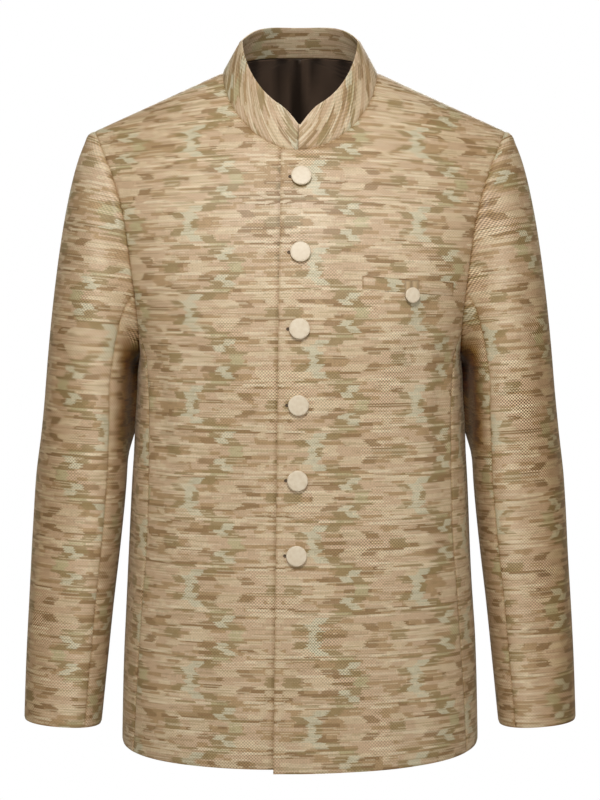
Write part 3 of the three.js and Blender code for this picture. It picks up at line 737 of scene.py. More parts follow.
def bodyGrid(placeRows, side, clothShift):
    grid = {"outer": [], "inward": [], "places": []}
    for row in placeRows:
        points, inwards, flat = [], [], []
        for place in row:
            point, normal = bodySurface(place, side)
            points.append(point)
            inwards.append(normal * -cloth["thickness"])
            across, along = clothAt(*place)
            flat.append((across + clothShift, along))
        grid["outer"].append(points)
        grid["inward"].append(inwards)
        grid["places"].append(flat)
    return grid


# Even steps up and across a panel, with a few more at each edge
panelColumns = 34
panelRows = crowded(rowCount, ((0.07, 0.2), (0.14, 0.42)))
columnSteps = crowded(panelColumns, ((0.18, 0.55), (0.18, 0.55)))
acrossShares = [step / panelColumns for step in columnSteps]


# Painted shade: the silk is darkened towards the body's sides
def paintedSideShade(point):
    return cloth["paintedSideShade"] * smooth(abs(point.x), cloth["sideFrom"], cloth["sideTo"])


def atTurnUp(point):  # whether the brocade turned up at the hem reaches here
    return point.z < trunk["hemMiddle"] + cloth["turnUp"]


def turnedIn(grid, test):  # the inside is brocade where the test holds, and satin elsewhere
    def inside(quad):
        return 0 if test(*divmod(quad[0], len(grid["outer"][0]))) else 1

    return inside


def frontPanel(name, front, ring):
    side = front["side"]
    columns = [front["collarEnd"]] + list(front["columns"])
    neckline = neckEdge(front, columns)
    seam = seamPlaces(frontSeamRows, ring[armholeSteps]["place"])
    up = [item["place"] for item in reversed(ring[:armholeSteps])]
    sideEdge = seam + up
    throat = neckPlace(0)[1]
    levels = [place[1] for place in spread(lambda t: (0, throat * t), frontEdgeRows)]
    rows = sorted(set(panelRows) | {frontEdgeRows - 0.2, frontEdgeRows - 0.07})
    placeRows = []
    for row in rows:
        edgeX = mix(front["edgeAtHem"], front["edgeAtNeck"], min(row / frontEdgeRows, 1))
        edgeColumns = [edgeX + step for step in lap["edge"]]
        if row < frontEdgeRows:
            level = sample(levels, row, mix)
            halfWidth = halfWidthAt(level)
            strip = [(turnFor(x, halfWidth), level) for x in edgeColumns + columns]
        elif row == frontEdgeRows:
            corner = placeAt(edgeX, neckHeightAt(edgeX) - lap["neckDrop"])
            reach = front["collarEnd"] - edgeX
            strip = [
                mixPlace(corner, neckline[0]["place"], (x - edgeX) / reach) for x in edgeColumns
            ]
            strip += [item["place"] for item in neckline[:len(columns)]]
        else:
            neckPlaces = [item["place"] for item in neckline]
            start = sample(neckPlaces, len(columns) - 1 + row - frontEdgeRows)
            strip = [start] * (len(edgeColumns) + len(columns))
        end = sample(sideEdge, row)
        placeRows.append(strip + [mixPlace(strip[-1], end, share) for share in acrossShares[1:]])
    grid = bodyGrid(placeRows, side, frontClothShift[side])
    stripEnd = len(lap["edge"]) + len(columns) - 1
    last = len(placeRows[0]) - 1
    for i, row in enumerate(placeRows):
        for j, place in enumerate(row):
            point = grid["outer"][i][j]
            rise = riseAt(bodyPoint(*place).x, front)
            point -= grid["inward"][i][j].normalized() * rise
            nearHem = max(0, 1 - place[1] / lap["hemDropFade"])
            point.z -= front["hemDrop"] * nearHem * (1 - j / last)
    neckRow = rows.index(frontEdgeRows)
    underNeck = [(neckRow, j) for j in range(len(lap["edge"]), stripEnd + 1)]
    besideNeck = [(i, stripEnd) for i in range(neckRow + 1, len(rows))]
    neckInwards = [item["inward"] for item in neckline]
    setMitre(grid, underNeck, neckInwards, range(len(columns)))
    setMitre(grid, besideNeck, neckInwards,
             [len(columns) - 1 + rows[i] - frontEdgeRows for i, _ in besideNeck])
    easeMitre(grid["inward"], underNeck, -1, 0)
    easeMitre(grid["inward"], besideNeck, 0, 1)
    ringInwards = [item["inward"] for item in reversed(ring[:armholeSteps + 1])]
    atHole = [(i, last) for i, row in enumerate(rows) if row >= seamRows]
    setMitre(grid, atHole, ringInwards, [rows[i] - seamRows for i, _ in atHole])
    easeMitre(grid["inward"], atHole, 0, -1)
    quads = gridCells(grid["outer"], lambda i, j: i >= neckRow and j < stripEnd)

    def isBrocade(i, j):
        place = placeRows[i][j]
        return clothAt(*place)[0] < cloth["facing"] or atTurnUp(bodyPoint(*place))

    def lapShadowLine(point):  # a painted shadow where the other front's edge lies over this one
        share = clamp((point.z - neck["throat"]) / (trunk["hemMiddle"] - neck["throat"]))
        beside = mix(leftFront["edgeAtNeck"], leftFront["edgeAtHem"], share) - point.x
        fading = 1 - smooth(beside, 0.3 * lap["lapShadowWide"], lap["lapShadowWide"])
        return lap["lapShadowTone"] * smooth(beside, lap["lapShadowFrom"], 0) * fading

    # painted shade round the sides, and on the right front the painted shadow of the left front's edge
    def tone(point):
        return paintedSideShade(point) + (0 if side > 0 else lapShadowLine(point))

    mirrorGrid(grid, side)
    return sewPiece(name, grid, quads, [brocade, satin],
                    turnedIn(grid, isBrocade), None, tone)


def backPlaces(ring, rows):
    neckline = neckEdge(leftFront, [leftFront["collarEnd"]] + list(leftFront["columns"]))
    nape = neckline[-1]["place"]
    centre = spread(lambda t: (180, nape[1] * t), backCentreRows)
    alongNeck = [item["place"] for item in reversed(neckline[-1 - neckBackSteps:-1])]
    alongNeck[-1] = (180 - neckPlace(90)[0], 2)   # the side neck, read on the back
    seam = seamPlaces(backSeamRows, ring[armholeSteps + underarmSteps]["place"])
    up = [item["place"] for item in ring[armholeSteps + underarmSteps + 1:]]
    starts, ends = centre + alongNeck, seam + up
    placeRows = []
    for row in rows:
        start, end = sample(starts, row), sample(ends, row)
        placeRows.append([mixPlace(start, end, share) for share in acrossShares])
    return placeRows, neckline


def backPanel(name, side, ring):
    rows = panelRows
    placeRows, neckline = backPlaces(ring, rows)
    grid = bodyGrid(placeRows, side, backClothShift[side])
    neckInwards = [item["inward"] for item in reversed(neckline[-1 - neckBackSteps:])]
    ringInwards = [item["inward"] for item in ring[armholeSteps + underarmSteps:]]
    last = len(acrossShares) - 1
    atNeck = [(i, 0) for i, row in enumerate(rows) if row >= backCentreRows]
    setMitre(grid, atNeck, neckInwards, [rows[i] - backCentreRows for i, _ in atNeck])
    atHole = [(i, last) for i, row in enumerate(rows) if row >= seamRows]
    setMitre(grid, atHole, ringInwards, [rows[i] - seamRows for i, _ in atHole])
    easeMitre(grid["inward"], atNeck[1:], 0, 1)
    easeMitre(grid["inward"], atHole, 0, -1)
    quads = gridCells(grid["outer"])
    mirrorGrid(grid, side)
    return sewPiece(name, grid, quads, [brocade, satin],
                    turnedIn(grid, lambda i, j: atTurnUp(grid["outer"][i][j])), None, paintedSideShade)


def sidePanel(name, side, ring):
    front = seamPlaces(frontSeamRows, ring[armholeSteps]["place"])
    back = seamPlaces(backSeamRows, ring[armholeSteps + underarmSteps]["place"])
    top = ring[armholeSteps:armholeSteps + underarmSteps + 1]
    topPlaces = [item["place"] for item in top]
    rows = crowded(seamRows, ((0.08, 0.25), (0.08, 0.25)))
    columns = crowded(underarmSteps, ((0.15, 0.45), (0.15, 0.45)))
    placeRows = []
    for row in rows:
        v = row / seamRows
        start, end = sample(front, row), sample(back, row)
        line = []
        for column in columns:
            u = column / underarmSteps
            across = mixPlace(start, end, u)
            low = mixPlace(front[0], back[0], u)
            bend = mixPlace(low, sample(topPlaces, column), v)
            flat = mixPlace(low, mixPlace(front[-1], back[-1], u), v)
            line.append((across[0] + bend[0] - flat[0], across[1] + bend[1] - flat[1]))
        placeRows.append(line)
    grid = bodyGrid(placeRows, side, sideClothShift[side])
    topInwards = [item["inward"] for item in top]
    atHole = [(len(rows) - 1, j) for j in range(len(columns))]
    setMitre(grid, atHole, topInwards, columns)
    easeMitre(grid["inward"], atHole, -1, 0)
    quads = gridCells(grid["outer"])
    mirrorGrid(grid, side)
    return sewPiece(name, grid, quads, [brocade, satin],
                    turnedIn(grid, lambda i, j: atTurnUp(grid["outer"][i][j])), None, paintedSideShade)


# Two-piece sleeves, set in with a soft roll at the head
sleeve = {
    "roundness": 2.2,
    "tilt": 0.078,
    "leaves": (0.9, 0, -0.4),
    "bulge": 0.8,
    "startLeast": 7,
    "startShare": 0.055,
    "fall": 0.62,
    "crowding": 1.2,
    "capRows": 28,
    "rows": 36,
    "frontSeam": {"column": 10 * detail, "turn": 128},
    "backSeam": {"column": 24 * detail, "turn": 250},
    "rollHigh": 1.5,       # the roll at the sleeve head
    "rollAt": 9,
    "rollWide": 6,
    "rollOver": (-200, -90),
    "settle": (0, 11),     # folds begin this far from the armhole
}
sleeveSections = table("height inner outer halfDepth centreY", [
    (-697, 216.9, 300.8, 47, -20),
    (-632, 210.4, 298.7, 50, -15),
    (-567, 203.8, 295.4, 53, -10),
    (-501, 196.2, 291, 56.5, -5),
    (-436, 189.9, 286.7, 61, -1),
    (-390, 188, 281.6, 66, 1),
    (-330, 186.5, 276.6, 71, 2),
])
sleeveTop = sleeveSections[-1]["height"]
cuffHeight = sleeveSections[0]["height"]

# Painted shade and highlight round the sleeve, and a painted shadow where it touches the body
paintedSleeveShading = {
    # painted shade over all of the sleeve
    "usual": 0.5,
    "leftMore": 0.35,      # more painted shade on the wearer's left sleeve
    "innerX": (186, 217),  # the side by the body, at the sleeve's top and at its cuff
    "wide": 88,
    "shine": 1.0,          # a painted highlight band down the front of the arm
    "shineAt": 0.32,
    "shineWide": 0.15,
    "outside": 0.9,
    "outsideAcross": (0.5, 0.95),
    "outsideFade": (-280, -130),
    "close": 0.4,          # painted shade beside the body
    "slit": 2.9,           # painted shadow where sleeve and body touch under the arm
    "closeWide": 0.14,
    "closeFade": (-290, -245),
    "slitStart": (-425, -372),
    "slitEnd": (-310, -265),
}
sleeveAnchors = table("column turn", [
    (0, 0),
    (sleeve["frontSeam"]["column"], sleeve["frontSeam"]["turn"]),
    (ringSteps / 2, 180),
    (sleeve["backSeam"]["column"], sleeve["backSeam"]["turn"]),
    (ringSteps, 360),
])


def sleeveTurn(column):  # 0 is the outside of the arm, 90 its front
    column %= ringSteps
    i = 0
    while i < len(sleeveAnchors) - 2 and column > sleeveAnchors[i + 1]["column"]:
        i += 1
    low, high = sleeveAnchors[i], sleeveAnchors[i + 1]
    t = (column - low["column"]) / (high["column"] - low["column"])
    return mix(low["turn"], high["turn"], t)


def sleevePoint(turn, height):
    size = {
        key: readTable(sleeveSections, "height", key, height)
        for key in ("inner", "outer", "halfDepth", "centreY")
    }
    power = 2 / sleeve["roundness"]
    outwards = (size["outer"] - size["inner"]) / 2 * powered(math.cos(math.radians(turn)), power)
    forwards = size["halfDepth"] * powered(math.sin(math.radians(turn)), power)
    x = (size["outer"] + size["inner"]) / 2 + outwards
    return Vector((x, size["centreY"] - forwards, height + outwards * sleeve["tilt"]))


def sleeveAt(ring, column, row):  # row is ("cap", share) or ("down", height)
    column %= ringSteps
    turn = sleeveTurn(column)
    if row[0] == "down":
        return sleevePoint(turn, row[1])
    end = sleevePoint(turn, sleeveTop)
    beside = ring[int(column):int(column) + 2]
    start = sample([item["point"] for item in beside], column % 1, blendVectors)
    leaves = sample([item["leaves"] for item in beside], column % 1, blendVectors)
    drop = start.z - end.z
    out = start + leaves * (sleeve["startLeast"] + sleeve["startShare"] * drop)
    fall = end + Vector((-sleeve["tilt"] * sleeve["fall"] * drop, 0, sleeve["fall"] * drop))
    t = row[1]
    s = 1 - t
    return start * s ** 3 + out * (3 * s * s * t) + fall * (3 * s * t * t) + end * t ** 3


def sleeveRowList():
    capRows = sleeve["capRows"]
    rows = [("cap", (i / capRows) ** sleeve["crowding"]) for i in range(capRows)]
    steps = crowded(sleeve["rows"], ((), (0.08, 0.24)))
    rows += [("down", mix(sleeveTop, cuffHeight, step / sleeve["rows"])) for step in steps]
    return rows


# Painted shade and painted highlight on the sleeve, stored in its shadow attribute
def paintedSleeveShadingAt(point, side):
    down = clamp((sleeveTop - point.z) / (sleeveTop - cuffHeight))
    across = (abs(point.x) - mix(*paintedSleeveShading["innerX"], down)) / paintedSleeveShading["wide"]
    shine = paintedSleeveShading["shine"] * math.exp(-(((across - paintedSleeveShading["shineAt"]) / paintedSleeveShading["shineWide"]) ** 2))
    inSlit = smooth(point.z, *paintedSleeveShading["slitStart"]) * (1 - smooth(point.z, *paintedSleeveShading["slitEnd"]))
    close = mix(paintedSleeveShading["close"], paintedSleeveShading["slit"], inSlit) * (1 - smooth(across, 0, paintedSleeveShading["closeWide"]))
    close *= 1 - smooth(point.z, *paintedSleeveShading["closeFade"])
    outside = paintedSleeveShading["outside"] * smooth(across, *paintedSleeveShading["outsideAcross"])
    outside *= 1 - smooth(point.z, *paintedSleeveShading["outsideFade"])
    return paintedSleeveShading["usual"] + (paintedSleeveShading["leftMore"] if side > 0 else 0) + outside - shine + close


def sleevePiece(name, side, ring, start, end, middle):
    rows = sleeveRowList()
    columns = [start + step for step in crowded(end - start, ((0.25, 0.8), (0.25, 0.8)))]
    centreColumn = min(range(len(columns)), key=lambda k: abs(columns[k] - middle))
    topRow = sleeve["capRows"]
    grid = {"outer": [], "inward": [], "places": []}
    plain = [[sleeveAt(ring, column, row) for column in columns] for row in rows]
    normals = []
    for i, row in enumerate(rows):
        line = []
        for j, column in enumerate(columns):
            across = sleeveAt(ring, column + 0.5, row) - sleeveAt(ring, column - 0.5, row)
            down = plain[min(i + 1, len(rows) - 1)][j] - plain[max(i - 1, 0)][j]
            line.append(across.cross(down).normalized())
        normals.append(line)
    fromHole = [0.0] * len(columns)
    for i in range(len(rows)):
        rounds = lengthsFrom(centreColumn, plain[i])
        points, inwards = [], []
        for j, column in enumerate(columns):
            if i:
                fromHole[j] += (plain[i][j] - plain[i - 1][j]).length
            high = smooth(plain[0][j].z, *sleeve["rollOver"])
            roll = math.exp(-(((fromHole[j] - sleeve["rollAt"]) / sleeve["rollWide"]) ** 2))
            settle = smooth(fromHole[j], *sleeve["settle"])
            fold = foldDepth(sleeveFolds, sleeveFoldScale, side, sleeveTurn(column), plain[i][j].z)
            normal = normals[i][j]
            points.append(plain[i][j] + normal * (sleeve["rollHigh"] * high * roll + fold * settle))
            inwards.append(normal * -cloth["thickness"])
        grid["outer"].append(points)
        grid["inward"].append(inwards)
        grid["places"].append([(length + sleeveClothShift[side], 0.0) for length in rounds])
    for i in range(topRow):             # above the arm line the cap keeps the columns apart
        grid["places"][i] = list(grid["places"][topRow])
    for j in range(len(columns)):
        drops = lengthsFrom(topRow, [row[j] for row in plain])
        for i, drop in enumerate(drops):
            grid["places"][i][j] = (grid["places"][i][j][0], -drop)
    ringInwards = [item["inward"] for item in ring]
    atHole = [(0, j) for j in range(len(columns))]
    setMitre(grid, atHole, ringInwards, [column % ringSteps for column in columns])
    easeMitre(grid["inward"], atHole, 1, 0)
    inside = turnedIn(grid, lambda i, j: plain[i][j].z < cuffHeight + cloth["turnUp"])
    quads = gridCells(grid["outer"])
    mirrorGrid(grid, side)
    return sewPiece(name, grid, quads, [sleeveBrocade, satin], inside,
                    None, lambda point: paintedSleeveShadingAt(point, side))


def collarTall(point):
    if point.y >= trunk["sideY"]:
        return collar["height"] - collar["backDip"] * (1 - (point.x / neck["halfWidth"]) ** 2)
    left = max(0, 1 - abs(point.x) / collar["curve"])
    return collar["height"] - (collar["height"] - collar["endHeight"]) * left ** 2


def collarPattern(across, along):  # the cloth turns on the bias towards the front
    front = max(0, abs(across) - collar["biasFrom"])
    drop = collar["bias"] * front ** 2 / (front + collar["biasOver"])
    return across + collarClothShift, along + drop + collar["clothRise"]


def collarBand():
    halves = []
    for front in (leftFront, rightFront):
        end = front["collarEnd"]
        columns = [end, end + 0.8, end + 2.4] + list(front["columns"])[1:]
        flip = Vector((front["side"], 1, 1))
        half = []
        for item in neckEdge(front, columns):
            half.append({
                "point": item["point"] * flip,
                "up": item["up"] * flip,
                "inward": item["inward"] * flip,
                "wall": item["wallNormal"] * flip * -cloth["thickness"],
                "tall": collarTall(item["point"]),
            })
        halves.append(half)
    band = halves[0] + halves[1][::-1][1:]
    middle = len(halves[0]) - 1
    steps = crowded(collar["rows"], ((0.22, 0.7), (0.22, 0.7)))
    rounds = lengthsFrom(middle, [item["point"] for item in band])
    grid = {"outer": [], "inward": [], "places": []}
    for step in steps:
        share = step / collar["rows"]
        grid["outer"].append([item["point"] + item["up"] * item["tall"] * share for item in band])
        inwardKey = "inward" if step == 0 else "wall"
        grid["inward"].append([item[inwardKey].copy() for item in band])
        grid["places"].append([(rounds[j], item["tall"] * share) for j, item in enumerate(band)])
    grid["pattern"] = [[collarPattern(*place) for place in row] for row in grid["places"]]
    easeMitre(grid["inward"], [(0, j) for j in range(len(band))], 1, 0)
    quads = gridCells(grid["outer"])
    tops = [(row[0], row[-1]) for row in zip(*grid["outer"])]

    # Painted highlight along the folded top edge, painted shade along the other edges
    def paintedEdgeShading(point):
        low, high = min(tops, key=lambda pair: (pair[1] - point).length)
        return collar["topTone"] if (high - point).length < collar["topReach"] else 1.0

    return sewPiece("collar", grid, quads, [collarBrocade],
                    None, paintedEdgeShading)


# The dark lining of the back, seen through the neck, with its pleat at centre back
lining = {
    "thickness": 1.2,
    "clearance": 0.6,
    "neckGap": 0.9,
    "lowRow": 9 * detail,
    "columns": 5 / 7,
    "pleatDeep": 2.4,
    "pleatWide": 5,
    "pleatAt": 1.5,
    "pleatBack": 0.35,     # the pleat lies over to one side
    "foldsLevel": -20,     # where the folds' places across are measured
    "settle": (5, 34),     # below the collar, where the folds begin
    # painted shade over the lining, lessened by painted highlights on folds
    "tone": 1.2,
    "highlightBelowCollar": -1.6,      # painted highlight just below the collar
    "highReach": (6, 48),
    "foldShine": 8.0,
    "highFoldShine": 5.0,
    "raised": (0.6, 6.5),
}
liningFolds = table("at wide deep lean", [   # across the back, in millimetres
    (-86, 11, 5.2, -0.10),
    (-64, 7, 6.8, 0.05),
    (-47, 6, 4.6, 0.12),
    (-31, 8, 7.6, -0.06),
    (-14, 5, 5.0, 0.08),
    (11, 6, 6.2, -0.10),
    (27, 7, 7.4, 0.06),
    (42, 5, 4.8, -0.08),
    (57, 8, 7.0, 0.10),
    (80, 10, 5.4, 0.04),
])


def liningDepth(x, z):
    depth = 0.0
    for fold in liningFolds:
        away = x - fold["at"] - fold["lean"] * (z - lining["foldsLevel"])
        depth += fold["deep"] * math.exp(-((away / fold["wide"]) ** 2))
    pleat = clamp(1 - abs(x - lining["pleatAt"]) / lining["pleatWide"])
    side = 1 if x > lining["pleatAt"] else lining["pleatBack"]
    return depth + lining["pleatDeep"] * pleat * side


def belowNeck(point):
    return neckHeightAt(min(abs(point.x), neck["halfWidth"])) - point.z


def backLining(ring):
    rows = [float(row) for row in range(lining["lowRow"], rowCount - detail // 2)]
    placeRows, _ = backPlaces(ring, rows)
    reach = [j for j, share in enumerate(acrossShares) if share <= lining["columns"]]
    points, inwards, flats, quads = [], [], [], []
    slots = {}

    def slotOf(side, i, j):
        shared = j == 0 and rows[i] <= backCentreRows
        key = (0 if shared else side, i, j)
        if key not in slots:
            place = placeRows[i][j]
            normal = bodyNormal(*place)
            point = bodyPoint(*place) - normal * (cloth["thickness"] + lining["clearance"])
            if j == 0 and rows[i] >= backCentreRows:
                beside = placeRows[i - 1][j] if rows[i] == backCentreRows else placeRows[i][3]
                point += (bodyPoint(*beside) - point).normalized() * lining["neckGap"]
            flip = Vector((side, 1, 1))
            settled = smooth(belowNeck(point), *lining["settle"])
            relief = bodyRelief(side, place[0], point.z)
            point = (point + normal * min(relief, 0)) * flip
            normal = normal * flip
            point -= normal * liningDepth(point.x, point.z) * settled
            across, along = clothAt(*place)
            slots[key] = len(points)
            points.append(point)
            inwards.append(normal * -lining["thickness"])
            flats.append(((180 * trunkFoldScale - across) * side, along))
        return slots[key]

    for side in (1, -1):
        for i in range(len(rows) - 1):
            for j in reach[:-1]:
                quad = (slotOf(side, i, j), slotOf(side, i, j + 1),
                        slotOf(side, i + 1, j + 1), slotOf(side, i + 1, j))
                quads.append(quad if side > 0 else quad[::-1])
    grid = {"outer": [points], "inward": [inwards], "places": [flats]}

    def shine(point):  # satin catches the light where a fold stands up
        high = 1 - smooth(belowNeck(point), *lining["highReach"])
        raised = smooth(liningDepth(point.x, point.z), *lining["raised"])
        foldShine = lining["foldShine"] + lining["highFoldShine"] * high
        return lining["tone"] + lining["highlightBelowCollar"] * high - foldShine * raised

    return sewPiece("back_lining", grid, quads, [satin], None, None, shine)


# Chest pocket: a welt, and a small loop over a button
welt = {
    "innerX": 65,
    "outerX": 162,
    "innerTop": -211.7,
    "outerTop": -219.2,
    "tall": 14,
    "thickness": 1.5,
    "gap": 0.2,
    "sunk": 1.1,
    "columns": 34,
    "rows": 8,
    "slitShadow": 1.6,       # painted shadow of the slit along the top, and at the ends
    "slitReach": 3.5,
    "endReach": 3,
}
loop = {
    "legSpacing": 7.4,
    "width": 6.8,
    "thickness": 1.2,
    "overWelt": 1,
    "rows": 60,
    "columns": 6,
    "round": 0.8,
}
pocketButtonX = 116.3
pocketButtonHeight = -232.3


def lyingGrid(rowShares, columnShares, at, gap, thickness, roundness=0.0, sunk=0.0):
    grid = {"outer": [], "inward": [], "places": []}
    for v in rowShares:
        points, inwards, flat = [], [], []
        for u in columnShares:
            x, height, across, along = at(v, u)
            point, normal = bodySurface(placeAt(x, height), 1)
            hump = thickness - roundness * (2 * u - 1) ** 2 - sunk * v * v
            points.append(point + normal * (gap + hump))
            inwards.append(normal * -hump)
            flat.append((across, along))
        grid["outer"].append(points)
        grid["inward"].append(inwards)
        grid["places"].append(flat)
    return grid


def weltTopAt(x):
    t = (x - welt["innerX"]) / (welt["outerX"] - welt["innerX"])
    return mix(welt["innerTop"], welt["outerTop"], t)


def pocketWelt():
    def at(v, u):
        x = mix(welt["innerX"], welt["outerX"], u)
        height = weltTopAt(x) - welt["tall"] * v
        return x, height, x + weltClothShift[0], height - weltTopAt(x) + weltClothShift[1]

    rows = crowded(welt["rows"], ((0.3, 1.0), (0.3, 1.0)))
    columns = crowded(welt["columns"], ((0.2, 0.7), (0.2, 0.7)))
    rowShares = [step / welt["rows"] for step in rows]
    columnShares = [step / welt["columns"] for step in columns]
    grid = lyingGrid(rowShares, columnShares, at, welt["gap"], welt["thickness"], 0.0, welt["sunk"])
    quads = gridCells(grid["outer"])

    # painted shadow along the top edge and at the ends
    def paintedEdgeShading(point):
        nearEnd = min(point.x - welt["innerX"], welt["outerX"] - point.x) < welt["endReach"]
        nearTop = weltTopAt(point.x) - point.z < welt["slitReach"]
        return welt["slitShadow"] if nearEnd or nearTop else 0.0

    return sewPiece("pocket_welt", grid, quads, [brocade],
                    None, paintedEdgeShading)


def pocketLoop():
    top = weltTopAt(pocketButtonX) - loop["overWelt"]
    radius = loop["legSpacing"] / 2
    leg = top - pocketButtonHeight
    length = 2 * leg + math.pi * radius
    gap = welt["thickness"] + 2 * welt["gap"]

    def at(v, u):
        travelled = v * length
        aside = (u - 0.5) * loop["width"]
        wide = radius + aside
        if travelled < leg:
            x, height = pocketButtonX - wide, top - travelled
        elif travelled > length - leg:
            x, height = pocketButtonX + wide, top - (length - travelled)
        else:
            angle = (travelled - leg) / radius
            x = pocketButtonX - wide * math.cos(angle)
            height = pocketButtonHeight - wide * math.sin(angle)
        return x, height, x, height

    rowShares = [i / loop["rows"] for i in range(loop["rows"] + 1)]
    columnShares = [j / loop["columns"] for j in range(loop["columns"] + 1)]
    grid = lyingGrid(rowShares, columnShares, at, gap, loop["thickness"], loop["round"])
    quads = gridCells(grid["outer"])
    return sewPiece("pocket_loop", grid, quads, [plainSilk])


# Flat cream buttons, with a soft crown and a rolled edge
buttons = {
    "count": 6,
    "topHeight": -108.6,
    "bottomHeight": -504,
    "topX": 1.6,
    "bottomX": -3.6,
    "steps": 56,
    "edge": 1.3,           # radius of the rolled edge
}
frontButton = {"radius": 10.9, "thickness": 3.8, "stem": 4, "standOff": 1.1}
smallButton = {"radius": 8.3, "thickness": 3.0, "stem": 2.5, "standOff": 3.2}


def ringFaces(rings, steps):
    faces = []
    for i in range(rings - 1):
        for k in range(steps):
            a, b = i * steps + k, i * steps + (k + 1) % steps
            faces.append((a, b, b + steps, a + steps))
    return faces


def turnedButton(name, node, size, x, height, rise):
    point, normal = bodySurface(placeAt(x, height), 1)
    point += normal * rise
    sideways = normal.cross(Vector((0, 0, 1))).normalized()
    upright = sideways.cross(normal).normalized()
    back, radius = size["standOff"], size["radius"]
    face = back + size["thickness"]
    profile = [(0.0, 0.1), (size["stem"], 0.1), (size["stem"], back), (radius - 1.4, back)]
    edge = buttons["edge"]
    for k in range(9):
        angle = math.radians(-70 + 160 * k / 8)
        out = radius - edge + edge * math.cos(angle)
        profile.append((out, face - edge - 0.2 + edge * math.sin(angle)))
    profile += [(radius * 0.72, face - 0.12), (radius * 0.45, face - 0.04), (0.0, face)]
    vertices = []
    steps = buttons["steps"]
    rings = profile[1:-1]
    for out, high in rings:
        for k in range(steps):
            angle = 2 * math.pi * k / steps
            aside = sideways * math.cos(angle) + upright * math.sin(angle)
            vertices.append((point + aside * out + normal * high) * metre)
    faces = ringFaces(len(rings), steps)
    low, high = len(vertices), len(vertices) + 1
    vertices += [(point + normal * profile[0][1]) * metre, (point + normal * face) * metre]
    top = (len(rings) - 1) * steps
    for k in range(steps):
        following = (k + 1) % steps
        faces.append((low, following, k))
        faces.append((high, top + k, top + following))
    mesh = bpy.data.meshes.new(name)
    mesh.from_pydata(vertices, [], faces)
    if sum(t.normal.dot(Vector(t.center) - point * metre) * t.area for t in trianglesOf(mesh)) < 0:
        mesh.flip_normals()
    mesh.materials.append(creamDisc)
    shadeSmooth(mesh, 60)
    piece = putDown(name, mesh)
    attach(piece, "root")
    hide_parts(node)
    return piece


# Each buttonhole is a worked slit that starts under its button and ends beside it
buttonhole = {"length": 15, "reach": 14.0, "width": 3.4, "high": 0.7, "slit": 0.9, "steps": 28}


def workedButtonhole(name, x, height, rise):
    vertices = []
    half, radius = buttonhole["length"] / 2, buttonhole["width"] / 2
    middleX = x - buttonhole["reach"] + half
    top, steps = buttonhole["high"], buttonhole["steps"]
    profile = [(radius, 0.05), (radius * 0.86, top), (radius * 0.5, top * 0.9),
               (buttonhole["slit"] / 2, 0.25), (0.0, 0.15)]
    for out, high in profile:
        for k in range(steps):
            angle = 2 * math.pi * k / steps
            straight = math.copysign(half - radius, math.cos(angle))
            across = middleX + straight + out * math.cos(angle)
            point, normal = bodySurface(placeAt(across, height + out * math.sin(angle)), 1)
            vertices.append((point + normal * (rise + high)) * metre)
    mesh = bpy.data.meshes.new(name)
    mesh.from_pydata(vertices, [], ringFaces(len(profile), steps))
    mesh.materials.append(thread)
    mesh.polygons.foreach_set("use_smooth", [True] * len(mesh.polygons))
    piece = putDown(name, mesh)
    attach(piece, "root")
    return piece


# Where each piece is cut from the cloth, in millimetres across it
frontClothShift = {1: 13, -1: -32}
backClothShift = {1: 5, -1: -20}
sideClothShift = {1: 48, -1: 12}
sleeveClothShift = {1: 20, -1: -35}
collarClothShift = 22
weltClothShift = (41, 60)


# Materials
def colour(red, green, blue):
    def linear(value):
        value /= 255
        return value / 12.92 if value <= 0.04045 else ((value + 0.055) / 1.055) ** 2.4
    return (linear(red), linear(green), linear(blue), 1)


def startGroup(name, inputs, outputs):
    group = bpy.data.node_groups.new(name, "ShaderNodeTree")
    for label, kind in inputs:
        group.interface.new_socket(name=label, in_out="INPUT", socket_type="NodeSocket" + kind)
    for label, kind in outputs:
        group.interface.new_socket(name=label, in_out="OUTPUT", socket_type="NodeSocket" + kind)
    given, result = group.nodes.new("NodeGroupInput"), group.nodes.new("NodeGroupOutput")
    return group, given.outputs, result.inputs


def plug(tree, socket, value):  # a value is another node's output or a plain number
    if isinstance(value, bpy.types.NodeSocket):
        tree.links.new(value, socket)
    else:
        socket.default_value = value


def calc(tree, operation, *values):
    node = tree.nodes.new("ShaderNodeMath")
    node.operation = operation
    for socket, value in zip(node.inputs, values):
        plug(tree, socket, value)
    return node.outputs[0]


def joinVector(tree, x, y, z=0.0):
    node = tree.nodes.new("ShaderNodeCombineXYZ")
    for socket, value in zip(node.inputs, (x, y, z)):
        plug(tree, socket, value)
    return node.outputs[0]


def splitVector(tree, vector):
    node = tree.nodes.new("ShaderNodeSeparateXYZ")
    plug(tree, node.inputs[0], vector)
    return node.outputs


def noise(tree, vector, scale=1.0, detail=0.0, roughness=0.5):
    node = tree.nodes.new("ShaderNodeTexNoise")
    node.noise_dimensions = "3D"
    plug(tree, node.inputs["Vector"], vector)
    node.inputs["Scale"].default_value = scale
    node.inputs["Detail"].default_value = detail
    node.inputs["Roughness"].default_value = roughness
    return node.outputs[0]


def stretched(tree, x, y, scaleX, scaleY):  # noise drawn out along one way of the threads
    place = joinVector(tree, calc(tree, "MULTIPLY", x, scaleX), calc(tree, "MULTIPLY", y, scaleY))
    return noise(tree, place)


def rowChance(tree, y, high):  # one random number for each row of this height
    node = tree.nodes.new("ShaderNodeTexWhiteNoise")
    node.noise_dimensions = "1D"
    plug(tree, node.inputs["W"], calc(tree, "FLOOR", calc(tree, "DIVIDE", y, high)))
    return node.outputs["Value"]


